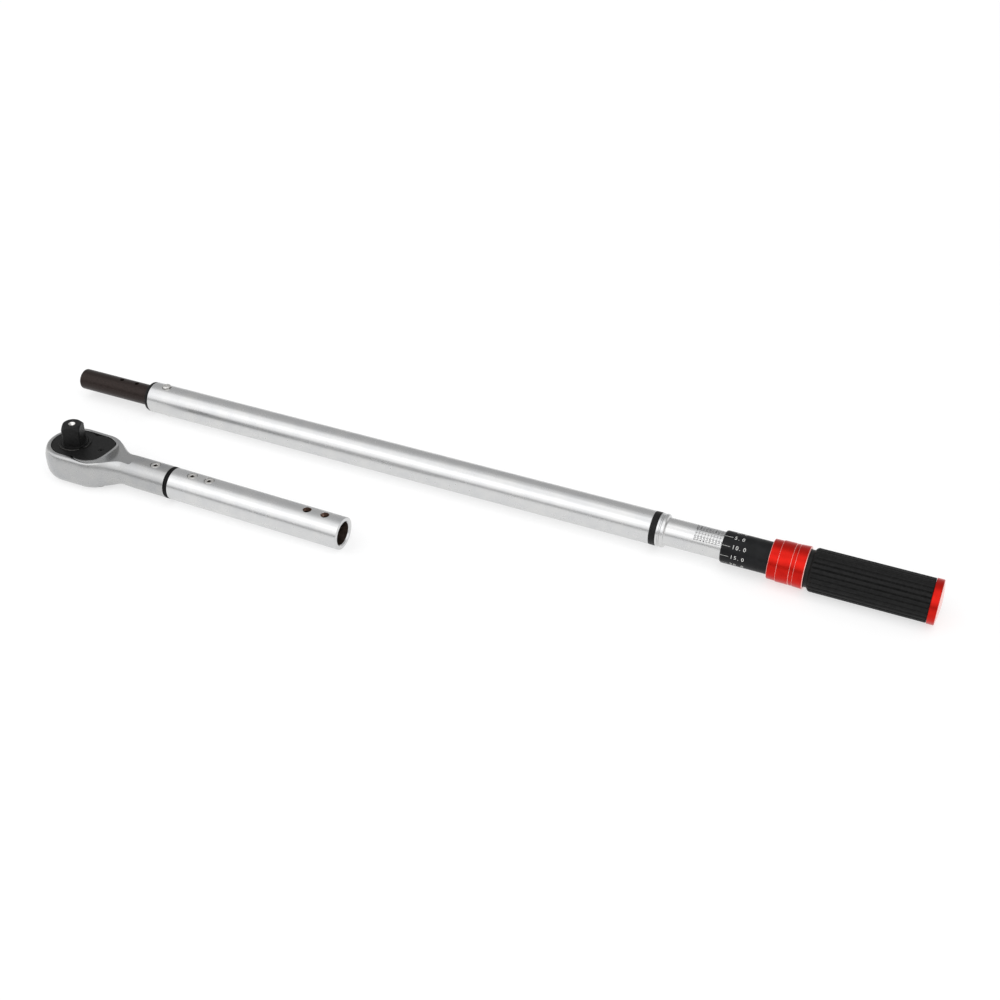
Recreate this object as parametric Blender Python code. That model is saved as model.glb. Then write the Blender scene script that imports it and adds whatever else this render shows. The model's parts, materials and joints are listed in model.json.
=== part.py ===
"""Two-section click torque wrench with a 3/4 inch square drive, modelled as its separate pieces.

The wrench is taken apart and lies on a level surface: the main section (connecting spar, tube, scale
and handle) and, beside it, the ratchet head with its extension sleeve. Each section is built along
its own axis under an empty, and the empty tips the section by the small angle at which it rests.
World axes: +X towards the handle, +Z up, origin at the centre of the bounding box's underside.
Lengths below are in millimetres and are turned into metres as the meshes are made.
"""

import math

import bmesh
import bpy
from mathutils import Matrix, Vector

MM = 0.001
GAP = 0.3  # clearance between pieces that touch
SIDES = 32  # facets round a large turned piece
INNER_SIDES = 20  # the same, inside the tube
SMALL_SIDES = 16

# Driving dimensions
TUBE_R = 17.0
TUBE_BORE_R = 13.5
SPAR_R = 11.6  # the bar that plugs into the extension sleeve
SLEEVE_R = 16.7
SLEEVE_BORE_R = 11.95
DRIVE_SIDE = 19.05
HEAD_UNDERSIDE = 19.9  # from the section's axis down to the head's flat underside
HEAD_TOP = 15.0
DRIVE_TOP = 37.9
CAP_R = 22.0
PIN_HALF = 19.7  # half the length of the pivot pin over its domes
SECTION_SPACING = 133.6  # between the two axes

# Stations along the main section, from the tip of its spar
TUBE_FRONT = 98.5
SPAR_FRONT = 2.0
MOUTH_RING_FRONT = 94.5
PIVOT_AT = 115.8
TUBE_REAR = 689.1
BARREL_FRONT = 695.7
BARREL_REAR = 800.0
BARREL_R = 14.2
THIMBLE_FRONT = 761.3
THIMBLE_REAR = 846.0
THIMBLE_R = 16.15
THIMBLE_BORE_R = 14.55
COLLAR_FRONT = 808.3
COLLAR_REAR = 843.7
CORE_FRONT = 826.0
GRIP_FRONT = 847.6
GRIP_REAR = 959.9
CAP_REAR = 969.8

# Stations along the head section, from the drive's centre
PAWL_AT = 33.0
LOBE_AT = 24.5
LOBE_R = 31.1
HEAD_HALF_WIDTH = 31.5
PAD_INSET = 9.5  # how far the flat underside is drawn in from the widest outline
PLATE_LOBE_AT = 22.5
NECK_FLAT_Z = 14.0  # height of the flat on top of the neck, next to the head
NECK_FLAT_END = 74.0
RING_FRONT = 119.0
SLEEVE_FRONT = 123.8
SLEEVE_MOUTH = 320.0
SET_SCREWS = {"neck_screw": 101.4, "sleeve_screw_1": 146.1, "sleeve_screw_2": 166.2}
CROSS_HOLES = (20.0, 40.0)  # from the joint face, in the sleeve and in the spar alike

# Ratchet
DRIVE_TURN = math.radians(22.5)  # how far the square is turned from the section's axis: two teeth of the gear
GEAR_TEETH = 32
GEAR_TIP_R = 19.2
GEAR_ROOT_R = 17.4
PAWL_INNER_R = 19.55
PAWL_ROCK = math.radians(6.5)  # each way from neutral, where both its ends stand clear of the gear

# How the two sections lie: each rests on two points of its underside
MAIN_TILT = math.atan((CAP_R - PIN_HALF) / (CAP_REAR - PIVOT_AT))
PAD_END = LOBE_AT + LOBE_R - PAD_INSET
HEAD_TILT = math.atan((HEAD_UNDERSIDE - SLEEVE_R) / (SLEEVE_MOUTH - PAD_END))
DRIVE_FROM_TIP = 93.9  # the drive's centre lies this far along the main section
MAIN_Y = (SECTION_SPACING + HEAD_HALF_WIDTH - CAP_R) / 2
HEAD_Y = MAIN_Y - SECTION_SPACING
TIP_X = -(SPAR_FRONT + CAP_REAR) / 2
MAIN_Z = PIN_HALF - PIVOT_AT * math.sin(MAIN_TILT)
HEAD_Z = HEAD_UNDERSIDE * math.cos(HEAD_TILT) + PAD_END * math.sin(HEAD_TILT)

PARTS = "torque_wrench"
CUTTERS = "cutters"

STEEL = (0.62, 0.62, 0.60)
MATERIALS = {  # name: colour, metallic, roughness
    "satin_chrome": (STEEL, 1.0, 0.28),
    "phosphated_steel": ((0.035, 0.024, 0.020), 0.6, 0.42),
    "black_oxide": ((0.020, 0.020, 0.019), 0.7, 0.40),
    "black_rubber": ((0.012, 0.012, 0.012), 0.0, 0.55),
    "black_anodised": ((0.015, 0.016, 0.017), 0.5, 0.38),
    "red_anodised": ((0.60, 0.012, 0.006), 0.7, 0.30),
    "plain_steel": (STEEL, 1.0, 0.35),
    "spring_steel": ((0.25, 0.25, 0.25), 1.0, 0.30),
}


# ---------------------------------------------------------------- scene and helpers


def clear_scene():
    for obj in list(bpy.data.objects):
        bpy.data.objects.remove(obj)


def collection(name):
    made = bpy.data.collections.new(name)
    bpy.context.scene.collection.children.link(made)
    return made


def material(name):
    if name in bpy.data.materials:
        return bpy.data.materials[name]
    colour, metallic, roughness = MATERIALS[name]
    made = bpy.data.materials.new(name)
    made.use_nodes = True
    shader = made.node_tree.nodes["Principled BSDF"]
    shader.inputs["Base Color"].default_value = (*colour, 1)
    shader.inputs["Metallic"].default_value = metallic
    shader.inputs["Roughness"].default_value = roughness
    return made


def section_empty(name, place, tilt):
    """An empty at a section's origin whose X runs along the section's axis."""
    empty = bpy.data.objects.new(name, None)
    bpy.data.collections[PARTS].objects.link(empty)
    empty.location = Vector(place) * MM
    empty.rotation_euler = (0, tilt, 0)
    return empty


def put(mesh, name, finish, parent, at=(0, 0, 0), turn=(0, 0, 0)):
    """Make an object of a mesh, in its section's frame."""
    obj = bpy.data.objects.new(name, mesh)
    helper = finish is None
    bpy.data.collections[CUTTERS if helper else PARTS].objects.link(obj)
    obj.parent = parent
    obj.location = Vector(at) * MM
    obj.rotation_euler = turn
    if helper:
        obj.hide_render = True
        obj.display_type = "WIRE"
    else:
        mesh.materials.append(material(finish))
        mesh.shade_smooth()
        mesh.set_sharp_from_angle(angle=math.radians(32))
    return obj


def turned_mesh(name, profile, sides=SIDES):
    """Revolve a closed profile of (station, radius) about X. Points with radius 0 lie on the axis."""
    bm = bmesh.new()
    rings = []
    for station, radius in profile:
        if radius == 0:
            rings.append([bm.verts.new((station * MM, 0, 0))])
            continue
        angles = (2 * math.pi * i / sides for i in range(sides))
        rings.append(
            [
                bm.verts.new((station * MM, radius * MM * math.cos(a), radius * MM * math.sin(a)))
                for a in angles
            ]
        )
    for first, second in zip(rings, rings[1:] + rings[:1]):
        if len(first) == 1 and len(second) == 1:
            continue
        for i in range(sides):
            corners = [
                first[i % len(first)],
                second[i % len(second)],
                second[(i + 1) % len(second)],
                first[(i + 1) % len(first)],
            ]
            bm.faces.new(dict.fromkeys(corners))
    bmesh.ops.recalc_face_normals(bm, faces=bm.faces)
    mesh = bpy.data.meshes.new(name)
    bm.to_mesh(mesh)
    bm.free()
    return mesh


def turned(name, profile, finish, parent, sides=SIDES, at=(0, 0, 0), turn=(0, 0, 0)):
    return put(turned_mesh(name, profile, sides), name, finish, parent, at, turn)


def rod_profile(low, high, radius, bevel=0.0):
    """A solid rod along X with bevelled ends."""
    return [
        (low, 0),
        (low, radius - bevel),
        (low + bevel, radius),
        (high - bevel, radius),
        (high, radius - bevel),
        (high, 0),
    ] if bevel else [(low, 0), (low, radius), (high, radius), (high, 0)]


def tube_profile(low, high, radius, bore, bevel=0.0):
    """A tube along X, its outer edges bevelled."""
    if not bevel:
        return [(low, bore), (low, radius), (high, radius), (high, bore)]
    return [
        (low, bore),
        (low, radius - bevel),
        (low + bevel, radius),
        (high - bevel, radius),
        (high, radius - bevel),
        (high, bore),
    ]


UPRIGHT = (0, -math.pi / 2, 0)  # turns a piece made along X to stand along Z


def upright_cutter(name, parent, at_x, low, high, radius, at_y=0.0):
    profile = rod_profile(low, high, radius)
    return turned(name, profile, None, parent, SMALL_SIDES, (at_x, at_y, 0), UPRIGHT)


def boolean(obj, other, operation="DIFFERENCE", solver="EXACT"):
    change = obj.modifiers.new(other.name, "BOOLEAN")
    change.object = other
    change.operation = operation
    change.solver = solver


def prism_mesh(name, levels):
    """A closed solid through stacked outlines: levels is a list of (height, points)."""
    bm = bmesh.new()
    rings = [
        [bm.verts.new((x * MM, y * MM, height * MM)) for x, y in outline]
        for height, outline in levels
    ]
    for low, high in zip(rings, rings[1:]):
        for i in range(len(low)):
            j = (i + 1) % len(low)
            bm.faces.new((low[i], low[j], high[j], high[i]))
    bm.faces.new(rings[0][::-1])
    bm.faces.new(rings[-1])
    bmesh.ops.recalc_face_normals(bm, faces=bm.faces)
    mesh = bpy.data.meshes.new(name)
    bm.to_mesh(mesh)
    bm.free()
    return mesh


def prism(name, levels, finish, parent, at=(0, 0, 0), turn=(0, 0, 0)):
    return put(prism_mesh(name, levels), name, finish, parent, at, turn)


def circle(radius, sides=SIDES, centre=(0.0, 0.0), start=0.0):
    return [
        (
            centre[0] + radius * math.cos(start + 2 * math.pi * i / sides),
            centre[1] + radius * math.sin(start + 2 * math.pi * i / sides),
        )
        for i in range(sides)
    ]


def two_lobes(first_r, second_r, second_at, sides=SIDES):
    """The outline of two overlapping circles on the X axis, seen from above."""
    meet_x = (first_r**2 - second_r**2 + second_at**2) / (2 * second_at)
    meet_y = math.sqrt(first_r**2 - meet_x**2)
    first_from = math.atan2(meet_y, meet_x)
    second_to = math.atan2(meet_y, meet_x - second_at)
    half = sides // 2
    outline = []
    for i in range(half):
        a = first_from + (2 * math.pi - 2 * first_from) * i / half
        outline.append((first_r * math.cos(a), first_r * math.sin(a)))
    for i in range(half):
        a = -second_to + 2 * second_to * i / half
        outline.append((second_at + second_r * math.cos(a), second_r * math.sin(a)))
    return outline


def racetrack(first_r, second_r, second_at, sides=SIDES):
    """The outline of a belt round two circles on the X axis, seen from above."""
    lean = math.asin((first_r - second_r) / second_at)
    half = sides // 2
    outline = []
    for i in range(half + 1):
        a = math.pi / 2 - lean + (math.pi + 2 * lean) * i / half
        outline.append((first_r * math.cos(a), first_r * math.sin(a)))
    for i in range(half + 1):
        a = -math.pi / 2 + lean + (math.pi - 2 * lean) * i / half
        outline.append((second_at + second_r * math.cos(a), second_r * math.sin(a)))
    return outline


def coil(name, start, end, radius, wire, turns, parent, at=(0, 0, 0), turn=(0, 0, 0), points_a_turn=8):
    """A compression spring along X, its wire's centre line from start to end."""
    curve = bpy.data.curves.new(name, "CURVE")
    curve.dimensions = "3D"
    curve.bevel_depth = wire * MM
    curve.bevel_resolution = 2
    curve.use_fill_caps = True
    curve.render_resolution_u = 0
    count = round(turns * points_a_turn) + 1
    spline = curve.splines.new("POLY")
    spline.points.add(count - 1)
    for i, point in enumerate(spline.points):
        angle = 2 * math.pi * i / points_a_turn
        along = start + (end - start) * i / (count - 1)
        place = Vector((along, radius * math.cos(angle), radius * math.sin(angle))) * MM
        point.co = (*place, 1)
    curve.materials.append(material("spring_steel"))
    obj = bpy.data.objects.new(name, curve)
    bpy.data.collections[PARTS].objects.link(obj)
    obj.parent = parent
    obj.location = Vector(at) * MM
    obj.rotation_euler = turn
    return obj


# ---------------------------------------------------------------- main section: front


def spar_and_lever(main):
    """The connecting spar and, in one piece with it, the lever whose tail trips the click."""
    tail_r = 9.4
    tail_end = 195.8
    profile = [
        (SPAR_FRONT, 0),
        (SPAR_FRONT, SPAR_R - 1.6),
        (SPAR_FRONT + 1.6, SPAR_R),
        (132, SPAR_R),
        (136, tail_r),
        (tail_end, tail_r),
        (tail_end, 0),
    ]
    lever = turned("lever_bar", profile, "phosphated_steel", main)
    for i, back in enumerate(CROSS_HOLES):
        at = MOUTH_RING_FRONT - back
        boolean(lever, upright_cutter(f"spar_hole_{i}", main, at, SPAR_R - 7, SPAR_R + 2, 2.3))
    boolean(lever, upright_cutter("lever_pivot_hole", main, PIVOT_AT, -14, 14, 4.4 + GAP))


def pivot_pin(main):
    """A plain pin across the tube, domed where it stands out at both ends."""
    radius = 4.4
    rise = 1.2
    dome = [
        (PIN_HALF - rise + rise * math.sin(a), radius * math.cos(a))
        for a in (math.pi / 2 * i / 4 for i in range(5))
    ]
    dome[-1] = (PIN_HALF, 0)
    profile = [(-x, r) for x, r in reversed(dome)] + dome
    turned("pivot_pin", profile, "plain_steel", main, INNER_SIDES, (PIVOT_AT, 0, 0), UPRIGHT)


def tube_and_rings(main):
    step_r = 15.2
    step_end = 701.4
    profile = [
        (TUBE_FRONT, TUBE_BORE_R),
        (TUBE_FRONT, TUBE_R - 0.6),
        (TUBE_FRONT + 0.6, TUBE_R),
        (TUBE_REAR, TUBE_R),
        (TUBE_REAR, step_r),
        (step_end, step_r),
        (step_end, TUBE_BORE_R),
    ]
    tube = turned("main_tube", profile, "satin_chrome", main)
    boolean(tube, upright_cutter("pivot_pin_hole", main, PIVOT_AT, -22, 22, 4.4 + GAP))

    flange_r = 16.5
    lip_r = TUBE_BORE_R - GAP
    bore = 12.5
    profile = [
        (MOUTH_RING_FRONT, bore),
        (MOUTH_RING_FRONT, flange_r - 0.4),
        (MOUTH_RING_FRONT + 0.4, flange_r),
        (TUBE_FRONT - GAP, flange_r),
        (TUBE_FRONT - GAP, lip_r),
        (TUBE_FRONT + 3, lip_r),
        (TUBE_FRONT + 3, bore),
    ]
    turned("mouth_ring", profile, "black_rubber", main)

    profile = tube_profile(TUBE_REAR + GAP, BARREL_FRONT - GAP, TUBE_R, step_r + GAP, 0.3)
    turned("barrel_ring", profile, "black_oxide", main)


def click_mechanism(main):
    """The tilting block behind the lever's tail, the plunger that loads it and the spring."""
    block_at = 201.2
    half = 4.6
    corner = 2.4
    outline = []
    for quarter in range(4):
        middle = math.pi / 4 + quarter * math.pi / 2
        cx = (half - corner) * math.copysign(1, math.cos(middle))
        cy = (half - corner) * math.copysign(1, math.sin(middle))
        for i in range(5):
            a = middle - math.pi / 4 + math.pi / 8 * i
            outline.append((cx + corner * math.cos(a), cy + corner * math.sin(a)))
    prism("tilt_block", [(-4, outline), (4, outline)], "plain_steel", main, (block_at, 0, 0))

    rod_r = 8.0
    head_r = TUBE_BORE_R - GAP
    profile = [
        (206.1, 0),
        (206.1, head_r - 1),
        (207.1, head_r),
        (236, head_r),
        (236, rod_r),
        (330, rod_r),
        (330, head_r),
        (342, head_r),
        (342, 6.2),
        (356, 6.2),
        (356, 0),
    ]
    turned("plunger", profile, "plain_steel", main, INNER_SIDES)

    wire = 2.4
    coil("main_spring", 344.9, 561.6, 10.4, wire, 11, main, points_a_turn=12)

    profile = [
        (549, 0),
        (549, 6.2),
        (564.3, 6.2),
        (564.3, head_r),
        (584, head_r),
        (584, 0),
    ]
    turned("spring_seat", profile, "plain_steel", main, INNER_SIDES)
    turned("thrust_bearing", tube_profile(584.3, 588.3, 12.6, 3.0), "plain_steel", main, INNER_SIDES)


# ---------------------------------------------------------------- main section: scale and handle


def barrel(main):
    """The fixed barrel that carries the scale, swelling to the tube's diameter at its front."""
    socket_r = 15.2 + GAP
    bore = 11.4
    fillet = [
        (703.2 + 3.1 * math.sin(a), BARREL_R + 2.8 * (math.cos(a)))
        for a in (math.pi / 2 * i / 4 for i in range(5))
    ]
    profile = [
        (BARREL_FRONT, socket_r),
        (BARREL_FRONT, TUBE_R - 0.5),
        (BARREL_FRONT + 0.5, TUBE_R),
        *fillet,
        (BARREL_REAR, BARREL_R),
        (BARREL_REAR, bore),
        (701.7, bore),
        (701.7, socket_r),
    ]
    turned("scale_barrel", profile, "satin_chrome", main)
    profile = tube_profile(660, 684, TUBE_BORE_R - GAP, 6.5)
    turned("screw_nut", profile, "plain_steel", main, INNER_SIDES)


def adjusting_screw(main):
    profile = [
        (588.6, 0),
        (588.6, 4.5),
        (592, 6.1),
        (930, 6.1),
        (930, 9.0),
        (934.7, 9.0),
        (934.7, 5.0),
        (956, 5.0),
        (956, 0),
    ]
    turned("adjusting_screw", profile, "plain_steel", main, SMALL_SIDES)


def thimble(main):
    """The black sleeve whose bevelled front edge carries the fine scale."""
    profile = [
        (THIMBLE_FRONT, THIMBLE_BORE_R),
        (THIMBLE_FRONT, THIMBLE_R - 0.9),
        (THIMBLE_FRONT + 2.2, THIMBLE_R),
        (THIMBLE_REAR, THIMBLE_R),
        (THIMBLE_REAR, THIMBLE_BORE_R),
    ]
    sleeve = turned("thimble", profile, "black_anodised", main)
    for i in (1, 2):
        side = 1 if i == 1 else -1
        low, high = sorted((side * 13.0, side * 18.0))
        boolean(sleeve, upright_cutter(f"ball_hole_{i}", main, 810, low, high, 1.25))
        mesh = bpy.data.meshes.new(f"lock_ball_{i}")
        bm = bmesh.new()
        bmesh.ops.create_uvsphere(bm, u_segments=10, v_segments=6, radius=0.9 * MM)
        bm.to_mesh(mesh)
        bm.free()
        put(mesh, f"lock_ball_{i}", "plain_steel", main, (810, 0, side * 15.4))


def lock_collar(main):
    """The red collar, stepped outside, that slides back over the handle's neck to free the handle."""
    lip = COLLAR_FRONT + 3
    profile = [
        (COLLAR_FRONT, THIMBLE_R + GAP),
        (COLLAR_FRONT, 18.6),
        (COLLAR_FRONT + 0.9, 19.6),
        (817.2, 20.0),
        (817.8, 20.6),
        (831.0, 20.6),
        (831.4, 20.2),
        (834.4, 20.2),
        (835.0, 20.8),
        (842.9, 21.3),
        (COLLAR_REAR, 20.6),
        (COLLAR_REAR, 18.9),
        (lip, 18.9),
        (lip, THIMBLE_R + GAP),
    ]
    turned("lock_collar", profile, "red_anodised", main)
    coil("collar_spring", lip + 1.0, CORE_FRONT - 1.0, 17.6, 0.55, 3, main, points_a_turn=14)


def handle(main):
    core_r = 18.5
    core_bore = 14.6
    wall = 935.0
    wall_end = 948.0
    profile = [
        (CORE_FRONT, THIMBLE_R + GAP),
        (CORE_FRONT, core_r),
        (958.0, core_r),
        (958.0, core_bore),
        (wall_end, core_bore),
        (wall_end, 5.3),
        (wall, 5.3),
        (wall, core_bore),
        (THIMBLE_REAR + GAP, core_bore),
        (THIMBLE_REAR + GAP, THIMBLE_R + GAP),
    ]
    turned("handle_core", profile, "black_oxide", main)
    nut = [(9.0 * math.cos(a), 9.0 * math.sin(a)) for a in (math.pi / 3 * i for i in range(6))]
    hexagon = prism("core_nut", [(0, nut), (6.5, nut)], "plain_steel", main, (948.3, 0, 0), (0, math.pi / 2, 0))
    bore = turned("core_nut_bore", rod_profile(940, 960, 5.3), None, main, SMALL_SIDES)
    boolean(hexagon, bore)
    grip(main, core_r + GAP)

    plug_r = core_bore - GAP
    crown = 2.4  # how far the cap's end is domed
    rim_r = CAP_R - 0.9
    profile = [
        (957.0, plug_r - 3),
        (957.0, plug_r),
        (958.3, plug_r),
        (958.3, 18.2),
        (GRIP_REAR + GAP, 18.2),
        (GRIP_REAR + GAP, CAP_R - 0.4),
        (GRIP_REAR + 0.7, CAP_R),
        (CAP_REAR - crown - 0.9, CAP_R),
        (CAP_REAR - crown, rim_r),
        *((CAP_REAR - crown * share**2, rim_r * share) for share in (0.75, 0.5, 0.25)),
        (CAP_REAR, 0),
        (961.5, 0),
        (961.5, plug_r - 3),
    ]
    turned("end_cap", profile, "red_anodised", main)


def grip(main, bore):
    """The ribbed rubber grip: an even row of rounded ribs along the handle."""
    ribs = 26
    rib_top = 21.6
    rib_root = 20.7

    def outline(shrink):
        points = []
        for i in range(ribs * 4):
            radius = (rib_root, rib_top - 0.25, rib_top, rib_top - 0.25)[i % 4] - shrink
            a = 2 * math.pi * i / (ribs * 4)
            points.append((radius * math.cos(a), radius * math.sin(a)))
        return points

    levels = [
        (GRIP_FRONT, outline(2.2)),
        (GRIP_FRONT + 2.8, outline(0)),
        (GRIP_REAR, outline(0)),
    ]
    sleeve = prism("grip_sleeve", levels, "black_rubber", main, turn=(0, math.pi / 2, 0))
    boolean(sleeve, turned("grip_bore", rod_profile(840, 970, bore), None, main))


# ---------------------------------------------------------------- head section


def ratchet_head(head):
    """The forged head with its neck: a belt round two circles, swelling at mid height."""
    levels = (  # height, how far the outline is drawn in
        (-HEAD_UNDERSIDE, PAD_INSET),
        (-18.9, 8.2),
        (-16.5, 5.0),
        (-12.0, 2.0),
        (-5.0, 0.3),
        (3.0, 0.0),
        (9.0, 0.8),
        (12.8, 2.3),
        (14.3, 3.6),
        (HEAD_TOP, 5.0),
    )
    body = [
        (z, racetrack(HEAD_HALF_WIDTH - inset, LOBE_R - inset, LOBE_AT, 36))
        for z, inset in levels
    ]
    forging = prism("ratchet_head", body, "satin_chrome", head)
    neck = turned("neck", rod_profile(30, RING_FRONT, SLEEVE_R, 0.5), None, head)
    flat = [(20, -20), (NECK_FLAT_END, -20), (NECK_FLAT_END, 20), (20, 20)]
    neck_flat = prism("neck_flat", [(NECK_FLAT_Z, flat), (30, flat)], None, head)
    boolean(neck, neck_flat)
    boolean(forging, neck, "UNION")
    plate_seat = [(z, racetrack(24.3, 23.8, PLATE_LOBE_AT)) for z in (12.0, HEAD_TOP + 3)]
    cutters = [
        prism("plate_seat", plate_seat, None, head),
        prism("gear_pocket", [(z, circle(19.8)) for z in (-13.0, 13.0)], None, head),
        prism("bearing_recess", [(z, circle(12.0)) for z in (-16.0, -12.0)], None, head),
        prism("pawl_pocket", [(z, circle(18.2, centre=(26.0, 0))) for z in (-11.5, 13.0)], None, head),
        prism(
            "lever_recess",
            [(z, circle(11.2, centre=(PAWL_AT, 0))) for z in (-HEAD_UNDERSIDE - 3, -14.6)],
            None, head,
        ),
        prism("lever_bore", [(z, circle(3.3, 24, (PAWL_AT, 0))) for z in (-16.0, -10.0)], None, head),
        turned("neck_bore", rod_profile(70, RING_FRONT + 3, SLEEVE_BORE_R), None, head),
        upright_cutter("neck_screw_hole", head, SET_SCREWS["neck_screw"], 8, 20, 5.3),
    ]
    for cutter in cutters:
        boolean(forging, cutter)


def cover_plate(head):
    plate = prism(
        "cover_plate",
        [
            (12.3, two_lobes(23.9, 23.4, PLATE_LOBE_AT)),
            (14.2, two_lobes(23.9, 23.4, PLATE_LOBE_AT)),
            (14.6, two_lobes(23.5, 23.0, PLATE_LOBE_AT)),
        ],
        "black_oxide", head,
    )
    boolean(plate, upright_cutter("hub_hole", head, 0, 10, 18, 14.0))
    boolean(plate, upright_cutter("cover_screw_hole", head, PAWL_AT, 10, 18, 2.8))
    screw = turned("cover_screw", rod_profile(12.4, 14.6, 2.5), "black_oxide", head, SMALL_SIDES,
                   (PAWL_AT, 0, 0), UPRIGHT)
    boolean(screw, upright_cutter("cover_screw_socket", head, PAWL_AT, 13.2, 16, 1.2))

    ring = prism("retaining_ring", [(14.9, circle(16.6)), (16.0, circle(16.6))], "black_oxide", head)
    boolean(ring, upright_cutter("retaining_ring_bore", head, 0, 14, 19, 14.1))
    split = [(10, -2.5), (20, -2.5), (20, 2.5), (10, 2.5)]
    boolean(ring, prism("ring_split", [(14, split), (19, split)], None, head, turn=(0, 0, -0.5)))


def gear_outline(grow=0.0):
    outline = []
    for i in range(GEAR_TEETH):
        for share, radius in ((0.0, GEAR_ROOT_R), (0.42, GEAR_TIP_R), (0.58, GEAR_TIP_R)):
            a = 2 * math.pi * (i + share) / GEAR_TEETH
            outline.append(((radius + grow) * math.cos(a), (radius + grow) * math.sin(a)))
    return outline


def drive(section):
    """The ratchet gear and the square drive, one piece, with a ball detent in one flat."""
    head = section_empty("drive_frame", (0, 0, 0), 0)
    head.parent = section
    head.rotation_euler.z = DRIVE_TURN
    gear = prism("drive_gear", [(-12.6, gear_outline()), (11.7, gear_outline())], "black_oxide", head)
    journal = [
        (-15.7, 0),
        (-15.7, 11.6),
        (-12.0, 11.6),
        (-12.0, 8.0),
        (5.0, 8.0),
        (5.0, 13.7),
        (16.6, 13.7),
        (17.0, 9.4),
        (17.0, 0),
    ]
    boolean(gear, turned("hub", journal, None, head, SIDES, (0, 0, 0), UPRIGHT), "UNION")
    half = DRIVE_SIDE / 2
    square = [(half, -half), (half, half), (-half, half), (-half, -half)]
    post = prism("square_post", [(10, square), (DRIVE_TOP, square)], None, head)
    turned_corners = turned(
        "square_corners",
        [(5, 0), (5, 12.6), (DRIVE_TOP - 3.6, 12.6), (DRIVE_TOP, 9.2), (DRIVE_TOP, 0)],
        None, head, SIDES, (0, 0, 0), UPRIGHT,
    )
    boolean(post, turned_corners, "INTERSECT")
    boolean(gear, post, "UNION")
    centre = [(DRIVE_TOP - 2.6, 0), (DRIVE_TOP + 1, 4.6), (DRIVE_TOP + 1, 0)]
    boolean(gear, turned("centre_drilling", centre, None, head, SMALL_SIDES, (0, 0, 0), UPRIGHT))

    ball_at = 27.0
    ball_r = 2.7
    hole = turned("ball_hole", rod_profile(1.2, 14, ball_r + 0.3), None, head, SMALL_SIDES,
                  (0, 0, ball_at), (0, 0, math.pi / 2))
    boolean(gear, hole)
    mesh = bpy.data.meshes.new("detent_ball")
    bm = bmesh.new()
    bmesh.ops.create_uvsphere(bm, u_segments=12, v_segments=8, radius=ball_r * MM)
    bm.to_mesh(mesh)
    bm.free()
    put(mesh, "detent_ball", "plain_steel", head, (0, half - 1.7, ball_at))
    coil("ball_spring", 1.9, half - 5.0, 1.7, 0.3, 3, head,
         (0, 0, ball_at), (0, 0, math.pi / 2))


def pawl(head):
    """The double-ended pawl, at neutral. Its ends are cut by the gear along the way to each engagement."""
    outer_r = 25.2
    reach = math.radians(34)
    steps = 10
    arc = [(-reach + 2 * reach * i / steps) for i in range(steps + 1)]
    outline = [(outer_r * math.cos(a), outer_r * math.sin(a)) for a in arc]
    outline += [(PAWL_INNER_R * math.cos(a), PAWL_INNER_R * math.sin(a)) for a in reversed(arc)]
    crescent = prism("pawl", [(-10.9, outline), (10.9, outline)], "plain_steel", head)
    boss = circle(7.4, centre=(PAWL_AT - 1, 0))
    boolean(crescent, prism("pawl_boss", [(z, boss) for z in (-10.9, 10.9)], None, head), "UNION", "MANIFOLD")
    bore = circle(3.4, SMALL_SIDES, (PAWL_AT, 0))
    boolean(crescent, prism("pawl_bore", [(z, bore) for z in (-13, 13)], None, head),
            solver="MANIFOLD")
    grown = [(z, gear_outline(0.3)) for z in (-14, 14)]
    for share in (-1.0, -0.75, -0.5, 0.5, 0.75, 1.0):
        # where the gear stands, seen from the pawl, once the pawl has rocked over
        rocked = prism(f"gear_from_pawl_{share:+.2f}", grown, None, head)
        rocked.matrix_local = about_pawl_pivot(share * PAWL_ROCK)
        boolean(crescent, rocked, solver="MANIFOLD")


def about_pawl_pivot(angle):
    pivot = Vector((PAWL_AT, 0, 0)) * MM
    return Matrix.Translation(pivot) @ Matrix.Rotation(angle, 4, "Z") @ Matrix.Translation(-pivot)


def reverse_lever(head):
    """The selector in the head's underside: its spindle carries the pawl."""
    top_of_knob = -14.9
    under = -HEAD_UNDERSIDE + 0.2
    knob = prism("reverse_lever", [(under, circle(7.5, 32)), (top_of_knob, circle(7.5, 32))],
                 "black_oxide", head, (PAWL_AT, 0, 0))
    tab = [(0, -3.2), (9.6, -2.4), (10.6, -1.2), (10.6, 1.2), (9.6, 2.4), (0, 3.2)]
    boolean(knob, prism("lever_tab", [(under, tab), (top_of_knob - 0.8, tab)], None, head,
                        (PAWL_AT, 0, 0)), "UNION")
    boolean(knob, prism("lever_spindle", [(z, circle(3.0, 24)) for z in (-16.5, 10.6)], None, head,
                        (PAWL_AT, 0, 0)), "UNION")
    hole = turned("selector_hole", rod_profile(2.0, 9, 1.5), None, head, 16,
                  (PAWL_AT, 0, -17.2), (0, 0, math.pi))
    boolean(knob, hole)
    mesh = bpy.data.meshes.new("selector_ball")
    bm = bmesh.new()
    bmesh.ops.create_uvsphere(bm, u_segments=10, v_segments=6, radius=1.2 * MM)
    bm.to_mesh(mesh)
    bm.free()
    put(mesh, "selector_ball", "plain_steel", head, (PAWL_AT - 9.6, 0, -17.2))
    coil("selector_spring", 2.4, 8.0, 0.8, 0.22, 4, head,
         (PAWL_AT, 0, -17.2), (0, 0, math.pi))


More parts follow.
